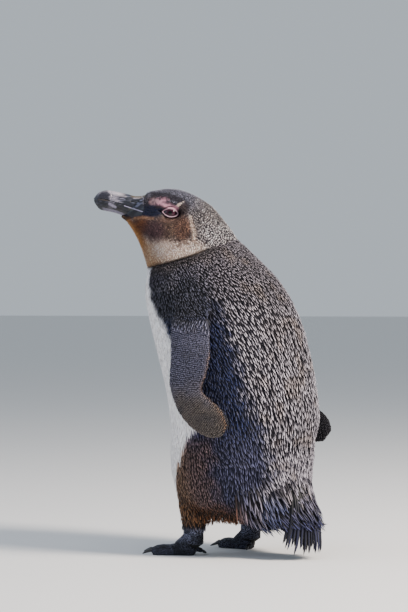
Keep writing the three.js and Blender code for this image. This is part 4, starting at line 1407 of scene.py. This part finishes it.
trunk = is_part["trunk"]
front = middle_turn < np.interp(middle_height, BELLY_EDGE_HEIGHT_MM, BELLY_EDGE_ROUND)
flipper_top = is_part["flipper"] & (middle_height > FLIPPER_TOP_MM + 7 * cloudy(middles, 8, seed=28))
back_roots = spread_roots((trunk & ~front) | flipper_top, body_spacing, 20)
root_height = body_mm(back_roots["points"])[:, 2]
back_regions = {
    "shoulder_feathers": root_height > SHOULDER_LOW_MM,
    "upper_back_feathers": (root_height <= SHOULDER_LOW_MM) & (root_height > BACK_MIDDLE_MM),
    "lower_back_feathers": (root_height <= BACK_MIDDLE_MM) & (root_height > RUMP_TOP_MM),
    "rump_and_thigh_feathers": root_height <= RUMP_TOP_MM,
}
for name, region in back_regions.items():
    roots = {key: value if key == "rng" else value[region] for key, value in back_roots.items()}
    size = roots["along"]
    length = clear_of_fold(roots, size * 2.3)
    low = smooth(150, 120, body_mm(roots["points"])[:, 2])
    lift = 0.9 + size * (0.36 - 0.1 * low)
    grow(name, roots, BLUNT, length, roots["across"] * 1.14, lift, "body_plumage", back_vane, worn=0.34)

# %% Feathers of belly, legs and flippers, and the scales of the feet
FEATHERED_LEG_MM = 37  # below this height the leg is bare
FLIPPER_ROW_MM = 2.3
SOLE_MM = 1.5  # the soles stay smooth up to this height

belly_roots = spread_roots(trunk & front, belly_spacing, 30)
white = {"worn": 0.03, "ridge_height": 0.05}
grow("belly_feathers", belly_roots, SLIM, 13, 2.5, 0.6, "body_plumage", belly_vane, **white)

feathered_leg = is_part["leg"] & (middle_height > FEATHERED_LEG_MM)
leg_roots = spread_roots(feathered_leg, body_spacing, 31)
grow("leg_feathers", leg_roots, BLUNT, 9, 2.0, 2.0, "body_plumage", back_vane)

flipper_area = is_part["flipper"] & ~flipper_top
flipper_roots = in_rows(spread_roots(flipper_area, flipper_spacing, 32), FLIPPER_ROW_MM)
grow("flipper_feathers", flipper_roots, SHORT, 3.3, 1.7, 0.8, "flipper_plumage", flipper_vane, worn=0.12)

triangle_up = skin_normals[triangles].mean(axis=1)[:, 2]
bare_foot = is_part["foot"] | (is_part["leg"] & ~feathered_leg)
bare_foot = bare_foot & (triangle_up > -0.5) & (middle_height > SOLE_MM)
scale_roots = spread_roots(bare_foot, scale_spacing, 35)
plate = {"worn": 0.3, "ridge_height": 0.1}
grow("foot_scales", scale_roots, BLUNT, 1.7, 1.5, 0.25, "foot_skin", scale_plate, **plate)

# %% [markdown]
# Long narrow coverts lie over the root of the tail and stand off at its end, and a ragged fringe hangs
# under the thighs and between the legs, where feathers have no skin to lie on.

# %% Tail coverts
POINTED = [(0.25, 0.9), (0.6, 1.0), (0.85, 0.55)]
RUMP_LIMIT_MM = 128  # coverts start at this height
RUMP_LIMIT_ROUND = 138  # and this far round the trunk


def covert_spacing(points):
    return np.full(len(points), 2.1), np.full(len(points), 4.6)


rump = trunk & (middle_height < RUMP_LIMIT_MM) & (middle_turn > RUMP_LIMIT_ROUND)
tail_roots = spread_roots(is_part["tail"] | rump, covert_spacing, 33)
height = body_mm(tail_roots["points"])[:, 2]
reach = np.interp(height, [50, 70, 100, 118, 128], [21, 27, 25, 15, 12])
reach = reach * tail_roots["rng"].uniform(0.55, 1.25, len(height))
covert_lift = np.interp(height, [60, 90, 128], [3.2, 2.6, 1.6])
covert_hang = np.interp(height, [50, 72, 100], [0.8, 0.6, 0.2])
tail_roots["flow"] = unit(tail_roots["flow"] + np.array([0, 0.22, 0]))
loose = {"hang": covert_hang, "worn": 0.4}
grow("tail_coverts", tail_roots, POINTED, reach, 2.4, covert_lift, "tail_feathers", back_vane, **loose)

# %% Long feathers draped over the sides of the tail, and the fringe under the body
drape = trunk & (middle_height < 88) & (middle_turn > 117) & (middle_turn < 172)
drape_roots = spread_roots(drape, covert_spacing, 36)
height = body_mm(drape_roots["points"])[:, 2]
turned = round_body(drape_roots["points"])
hem = np.interp(turned, [110, 121, 128, 142, 152, 172], [52, 44, 34, 19, 12, 12])
reach = np.clip((height - hem) / 0.9, 9, 32) * drape_roots["rng"].uniform(0.6, 1.08, len(height))
backwards = 0.22 + 0.3 * smooth(130, 160, turned)
down_and_back = np.stack([0 * height, backwards, -0.9 + 0 * height], axis=1)
drape_roots["flow"] = unit(drape_roots["flow"] * 0.6 + down_and_back)
grow("side_coverts", drape_roots, POINTED, reach, 2.8, 2.4, "tail_feathers", back_vane, hang=0.9, worn=0.42)

low_edge = trunk & (middle_height < 58) & (middle_turn > 40)
fringe_roots = spread_roots(low_edge, covert_spacing, 34)
fringe_roots["flow"] = unit(fringe_roots["flow"] + np.array([0, 0.1, -1.2]))
grow("thigh_fringe", fringe_roots, POINTED, 13, 1.6, 1.0, "body_plumage", back_vane, hang=0.9)

# %% [markdown]
# ## The bill
# A penguin's bill is bone under a sheath of horn, made of plates that meet in grooves. Each half starts as
# a copy of its solid, remeshed to two thirds of a millimetre. The grooves, the slit of the nostril and the
# worn ridges are then pressed into it along routes drawn on the side of the bill. The remesh wears the
# ridge and the tip away, so those are drawn out again first.

# %% Two halves of horn
BILL_VOXEL = 0.00062
UPPER_GROOVES = [  # (route, depth, half width) in mm
    ([(72, 425.5), (84, 424.2), (96, 425.0), (107, 428.2), (116, 431.0)], 0.65, 0.8),
    ([(74, 417.5), (88, 419.8), (101, 423.4), (113, 427.5)], 0.35, 0.6),
    ([(117.5, 437), (116, 431), (117.5, 425)], 0.35, 0.6),
]
NOSTRIL = (NOSTRIL_ROUTE, 0.7, 0.8)
LOWER_GROOVES = [
    ([(72, 407.2), (87, 409.0), (100, 413.2), (112, 418.8)], 0.5, 0.7),
    ([(113, 424), (114.5, 418), (113, 411)], 0.3, 0.6),
]
RIDGE_RISE_AT_MM = [72, 82, 88, 96, 104, 115, 122, 126, 134]
RIDGE_RISE_MM = [2.0, 0.5, 0.3, 1.5, 1.9, 1.9, 1.6, 0.8, 0.5]
LIP_DROP_AT_MM = [108, 113, 117, 121, 126, 134]
LIP_DROP_MM = [0, 0.5, 1.0, 1.6, 2.6, 3.0]
TIP_STRETCH_MM = {"bill_upper": 2.5, "bill_lower": 4.2}
STREAK_DEPTH_MM = 0.17


def horn_half(node, grooves):
    """One half of the bill: remeshed, smoothed, drawn out to ridge and tip, and grooved."""
    half = copy_of(node, swell=0)
    half.name = node + "_horn"
    half.data.materials.clear()
    half.data.remesh_voxel_size = BILL_VOXEL
    select_only(half)
    bpy.ops.object.voxel_remesh()
    bpy.ops.object.modifier_add(type="SMOOTH")
    half.modifiers[-1].iterations = 14
    half.modifiers[-1].factor = 0.5
    bpy.ops.object.modifier_apply(modifier=half.modifiers[-1].name)
    p, q, z = head_mm(coordinates(half)).T
    mouth, ridge = [np.interp(p, MOUTH_FORWARD_MM, line) for line in (MOUTH_HEIGHT_MM, RIDGE_HEIGHT_MM)]
    high = np.clip((z - mouth) / (ridge - mouth), 0, 1.2) * np.interp(p, RIDGE_RISE_AT_MM, RIDGE_RISE_MM)
    low = np.clip((mouth - z) / 8, 0, 1.2) * np.interp(p, LIP_DROP_AT_MM, LIP_DROP_MM)
    rise = 0
    if node == "bill_lower":  # its tip closes against the hook of the upper half
        rise = smooth(114, 128, p) * (z > mouth - 3)
    drawn_out = p + TIP_STRETCH_MM[node] * smooth(100, 130, p)
    move_vertices(half, from_head_mm(drawn_out, q, z + high - low + rise))
    places = coordinates(half)
    p, q, z = head_mm(places).T
    press = np.zeros(len(places))
    for route, depth, width in grooves:
        press += depth * np.exp(-((route_distance(p, z, route) / width) ** 2)) * smooth(0.8, 2.5, np.abs(q))
    streak = cloudy(np.stack([p * 0.22, q, z], axis=1) * MM, 1.1, seed=20)
    press += STREAK_DEPTH_MM * streak * smooth(0.5, 2, np.abs(q))
    move_vertices(half, places - normals(half) * press[:, None] * MM)
    bpy.ops.object.shade_smooth()
    return half


bill_upper = horn_half("bill_upper", UPPER_GROOVES + [NOSTRIL])
bill_lower = horn_half("bill_lower", LOWER_GROOVES)
print("bill halves:", len(bill_upper.data.polygons), "and", len(bill_lower.data.polygons), "faces")

# %% [markdown]
# The bill's colours were worked out with the markings, so that its rear plates, which lie on the head,
# carry on without a break. The finish is that of scratched keratin.

# %% Horn finish
for half in (bill_upper, bill_lower):
    paint(half, "Horn", horn_tones(*head_mm(coordinates(half)).T))
horn_material, shader = new_material("weathered bill horn")
# Keratin sheath, scratched by stones: a broad dull gloss with fine lengthwise scores.
horn = add_node(horn_material, "ShaderNodeAttribute", attribute_name="Horn")
link(horn_material, horn.outputs["Color"], shader.inputs["Base Color"])
shader.inputs["Roughness"].default_value = 0.38
place = add_node(horn_material, "ShaderNodeTexCoord")
scores = add_node(
    horn_material,
    "ShaderNodeTexNoise",
    {"Scale": 1 / 0.0009, "Detail": 3.0},  # scores about 0.9 mm apart
    {"Vector": place.outputs["Object"]},
)
bump = add_node(
    horn_material,
    "ShaderNodeBump",
    {"Strength": 0.25, "Distance": 0.0003},
    {"Height": scores.outputs["Fac"]},
)
link(horn_material, bump.outputs["Normal"], shader.inputs["Normal"])
for half, node in ((bill_upper, "bill_upper"), (bill_lower, "bill_lower")):
    half.data.materials.append(horn_material)
    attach(half, "root")
    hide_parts(node)
    print(half.name, "takes the place of", node)

# %% [markdown]
# ## The eyes
# A bird's eye is a large ball of which little shows. A sphere is set behind the lids, and its front is
# drawn out a little as the clear cornea is. Pupil and iris are rings round the line of sight.

# %% Eyeballs with a drawn-out cornea
CORNEA_RISE_MM = 0.9
CORNEA_WIDTH_MM = 4.5
IRIS_RADIUS_MM = 5.6
PUPIL_RADIUS_MM = 2.6


def eyeball(name, sign, node):
    """One eyeball; sign is 1 on the bird's left and -1 on its right."""
    centre = from_head_mm(np.array(EYE_MM[0]), np.array(sign * EYEBALL_ASIDE_MM), EYE_MM[1])
    bpy.ops.object.select_all(action="DESELECT")
    bpy.ops.mesh.primitive_uv_sphere_add(
        segments=72, ring_count=48, radius=EYEBALL_RADIUS_MM * MM, location=centre
    )
    ball = bpy.context.object
    ball.name = name
    bpy.ops.object.transform_apply(location=True, rotation=True, scale=True)
    places = coordinates(ball)
    ahead, above, aside = from_eye(places)
    off_sight = np.hypot(ahead, above)
    front = aside * sign > EYEBALL_ASIDE_MM
    rise = CORNEA_RISE_MM * np.exp(-((off_sight / CORNEA_WIDTH_MM) ** 2)) * front
    moved = from_head_mm(ahead + EYE_MM[0], aside + sign * rise, above + EYE_MM[1])
    move_vertices(ball, moved)
    iris = Plumage(len(places), 0x160A10)
    iris.layer(smooth(IRIS_RADIUS_MM + 0.4, IRIS_RADIUS_MM - 0.4, off_sight), 0x2E0F1E)
    iris.layer(smooth(PUPIL_RADIUS_MM + 0.3, PUPIL_RADIUS_MM - 0.3, off_sight), 0x020203)
    paint(ball, "Iris", iris.ground)
    bpy.ops.object.shade_smooth()
    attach(ball, "root")
    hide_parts(node)
    return ball


eye_material, shader = new_material("wet cornea over a dark iris")
# Tears on the cornea give one small sharp highlight on a very dark, wine-brown eye.
iris = add_node(eye_material, "ShaderNodeAttribute", attribute_name="Iris")
link(eye_material, iris.outputs["Color"], shader.inputs["Base Color"])
shader.inputs["Roughness"].default_value = 0.07
shader.inputs["IOR"].default_value = 1.36
for name, sign, node in (("eyeball_left", 1, "eye_left"), ("eyeball_right", -1, "eye_right")):
    eyeball(name, sign, node).data.materials.append(eye_material)
print("eyeballs of", 2 * EYEBALL_RADIUS_MM, "mm stand behind openings", 2 * OPENING_HALF_MM[0], "mm long")

# %% [markdown]
# ## Claws
# Each claw is a curved cone of black horn. A copy of its solid has its root drawn back into the toe and is
# rounded with a Subdivision Surface modifier, which keeps its length and hooks.

# %% Claws rounded from their solids
CLAW_ROOT_MM = 1.8  # how far each claw's root is drawn back into its toe
ROOT_RING_MM = 0.6  # points this much further from the toe than the nearest one still count as its root

claw_material, shader = new_material("worn black claw horn")
# Solid keratin, rubbed smooth by walking on rock: darker and glossier than the bill.
shader.inputs["Base Color"].default_value = rgba(0x1B1A1E)
shader.inputs["Roughness"].default_value = 0.32
for node in sorted(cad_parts):
    if node.startswith("claw"):
        claw = copy_of(node, swell=0)
        claw.name = node + "_horn"
        claw.data.materials.clear()
        claw.data.materials.append(claw_material)
        places = coordinates(claw)
        gap = np.array([skin_tree.find_nearest(Vector(place))[3] for place in places])
        root = places[gap < gap.min() + ROOT_RING_MM * MM].mean(axis=0)
        tip = places[np.linalg.norm(places - root, axis=1).argmax()]
        share = (places - tip) @ (root - tip) / ((root - tip) @ (root - tip))
        drawn_back = unit(root - tip) * (smooth(0.4, 1.0, share) * CLAW_ROOT_MM)[:, None] * MM
        move_vertices(claw, places + drawn_back)
        select_only(claw)
        bpy.ops.object.modifier_add(type="SUBSURF")
        claw.modifiers[-1].levels = claw.modifiers[-1].render_levels = 2
        bpy.ops.object.modifier_apply(modifier=claw.modifiers[-1].name)
        bpy.ops.object.shade_smooth()
        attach(claw, "root")
        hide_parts(node)
        print(claw.name, "is", round(np.linalg.norm(tip - root) / MM, 1), "mm long")

# %% [markdown]
# ## The tail
# Penguins prop themselves on a fan of stiff narrow quills. Each is one long blade with a raised shaft,
# bent along the tail's curved outer face until just above the floor. Three layers are laid one under the
# other, and the outer quills of each lie deeper, so that the middle ones are on top.

# %% A fan of quills
TAIL_HEIGHT_MM = [112, 92, 72, 54, 36, 18, -4]
TAIL_OUTER_Y_MM = [76, 85, 96, 103, 106.5, 108, 106]
TAIL_HALF_WIDTH_MM = [30, 36, 38, 38, 37, 37, 36]
TAIL_ARCH_MM = [8, 13, 17, 20, 22, 23, 24]
QUILL_STATIONS = [0.08, 0.2, 0.35, 0.5, 0.65, 0.78, 0.88, 0.95]
QUILL_TOP_MM = 104
QUILL_WIDTH_MM = 5.6
QUILL_THICKNESS_MM = 0.9
QUILL_LAYERS = [(19, 0.95, 0.6), (20, 1.0, 2.2), (18, 0.95, 4.2)]  # (how many, how wide, how deep in mm)
QUILL_END_MM = 3.0  # no quill ends below this height


def quill_line(share, height, deeper):
    """A point of the tail's outer face, share of its half width aside, sunk by deeper millimetres."""
    half = np.interp(height, TAIL_HEIGHT_MM[::-1], TAIL_HALF_WIDTH_MM[::-1])
    outer = np.interp(height, TAIL_HEIGHT_MM[::-1], TAIL_OUTER_Y_MM[::-1])
    arch = np.interp(height, TAIL_HEIGHT_MM[::-1], TAIL_ARCH_MM[::-1])
    place = np.array([share * (half - 2), outer - arch * share**2 - deeper, height])
    return place * MM + BODY_ORIGIN


def quill(share, bottom, deeper, width):
    """The vertices of one quill as rows of left edge, shaft and right edge between its two ends."""
    steps = np.array([0, *QUILL_STATIONS, 1])
    heights = QUILL_TOP_MM + (bottom - QUILL_TOP_MM) * steps
    line = np.array(
        [quill_line(share * (0.5 + 0.5 * step), height, deeper) for step, height in zip(steps, heights)]
    )
    out = unit(np.array([0.9 * share, 1.0, 0.25]))
    rows = [line[0]]
    for number, station in enumerate(QUILL_STATIONS):
        along = unit(line[number + 2] - line[number])
        aside = unit(np.cross(along, out))
        narrowed = 1 if station < 0.7 else 1 - ((station - 0.7) / 0.33) ** 2
        breadth = width * min(1, 0.55 + 2.2 * station) * narrowed
        half = aside * breadth / 2 * MM
        rise = np.cross(aside, along) * QUILL_THICKNESS_MM * MM
        rows += [line[number + 1] - half, line[number + 1] + rise, line[number + 1] + half]
    return np.array(rows + [line[-1]])


rng = np.random.default_rng(41)
quills = []
for layer, (count, spread, depth) in enumerate(QUILL_LAYERS):
    for number in range(count):
        share = spread * (2 * number / (count - 1) - 1)
        bottom = QUILL_END_MM + 12 * rng.random() + 3 * layer * rng.random() + 4 * abs(share)
        width = QUILL_WIDTH_MM * (1 - 0.18 * abs(share)) * rng.normal(1, 0.05)
        quills.append(quill(share + rng.normal(0, 0.03), bottom, depth + 1.6 * abs(share), width))
quills = np.array(quills)
print("quills:", len(quills), "lowest point", round(quills[:, :, 2].min() / MM, 2), "mm above the floor")

# %% The quills as one joined mesh
# A quill is long and changes colour along its length, so each has a strip of the bake map to itself.
per_quill = quills.shape[1]
quill_faces = wedge_faces(len(QUILL_STATIONS))
offsets = np.arange(len(quills))[:, None, None] * per_quill
tail_quills = mesh_object("tail_quills", quills.reshape(-1, 3), (quill_faces[None] + offsets).reshape(-1, 3))
steps = [(0.5, 0.0)]
for station in QUILL_STATIONS:
    steps += [(0.0, station), (0.5, station), (1.0, station)]
vane_map = np.tile(np.array(steps + [(0.5, 1.0)])[quill_faces.ravel()], (len(quills), 1))
across = np.repeat((np.arange(len(quills)) + 0.05) / len(quills), quill_faces.size)
bake_map = np.stack([across + vane_map[:, 0] * 0.9 / len(quills), 0.01 + 0.98 * vane_map[:, 1]], axis=1)
for title, values in ((BAKE_MAP, bake_map), ("Vane", vane_map)):
    layer = tail_quills.data.uv_layers.new(name=title)
    layer.uv.foreach_set("vector", values.astype(np.float32).ravel())
shade = np.repeat(np.exp(rng.normal(0, 0.5, (len(quills), 1))), per_quill, axis=0)
paint(tail_quills, "Ground", linear(0x06070D) * shade)
paint(tail_quills, "Tip", linear(0x191B2E) * shade)
# Stiff dark quills: a smoother, glossier vane, a little bluer towards the end.
quill_vane = feather_material("stiff tail quill", 0.25, 1.0, 0.75, 0.5, 0.05)
tail_quills.data.materials.append(quill_vane)
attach(tail_quills, "root")
print("tail_quills", len(tail_quills.data.polygons), "triangles")

# %% [markdown]
# ## The sizes at the end
# The sizes of the imported and the dressed model are written down side by side.

# %% The sizes of both models
visual_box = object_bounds()
for title, box in (("packed", cad_box), ("dressed", visual_box)):
    print(title, "model's box:", [[round(value, 4) for value in corner] for corner in box])
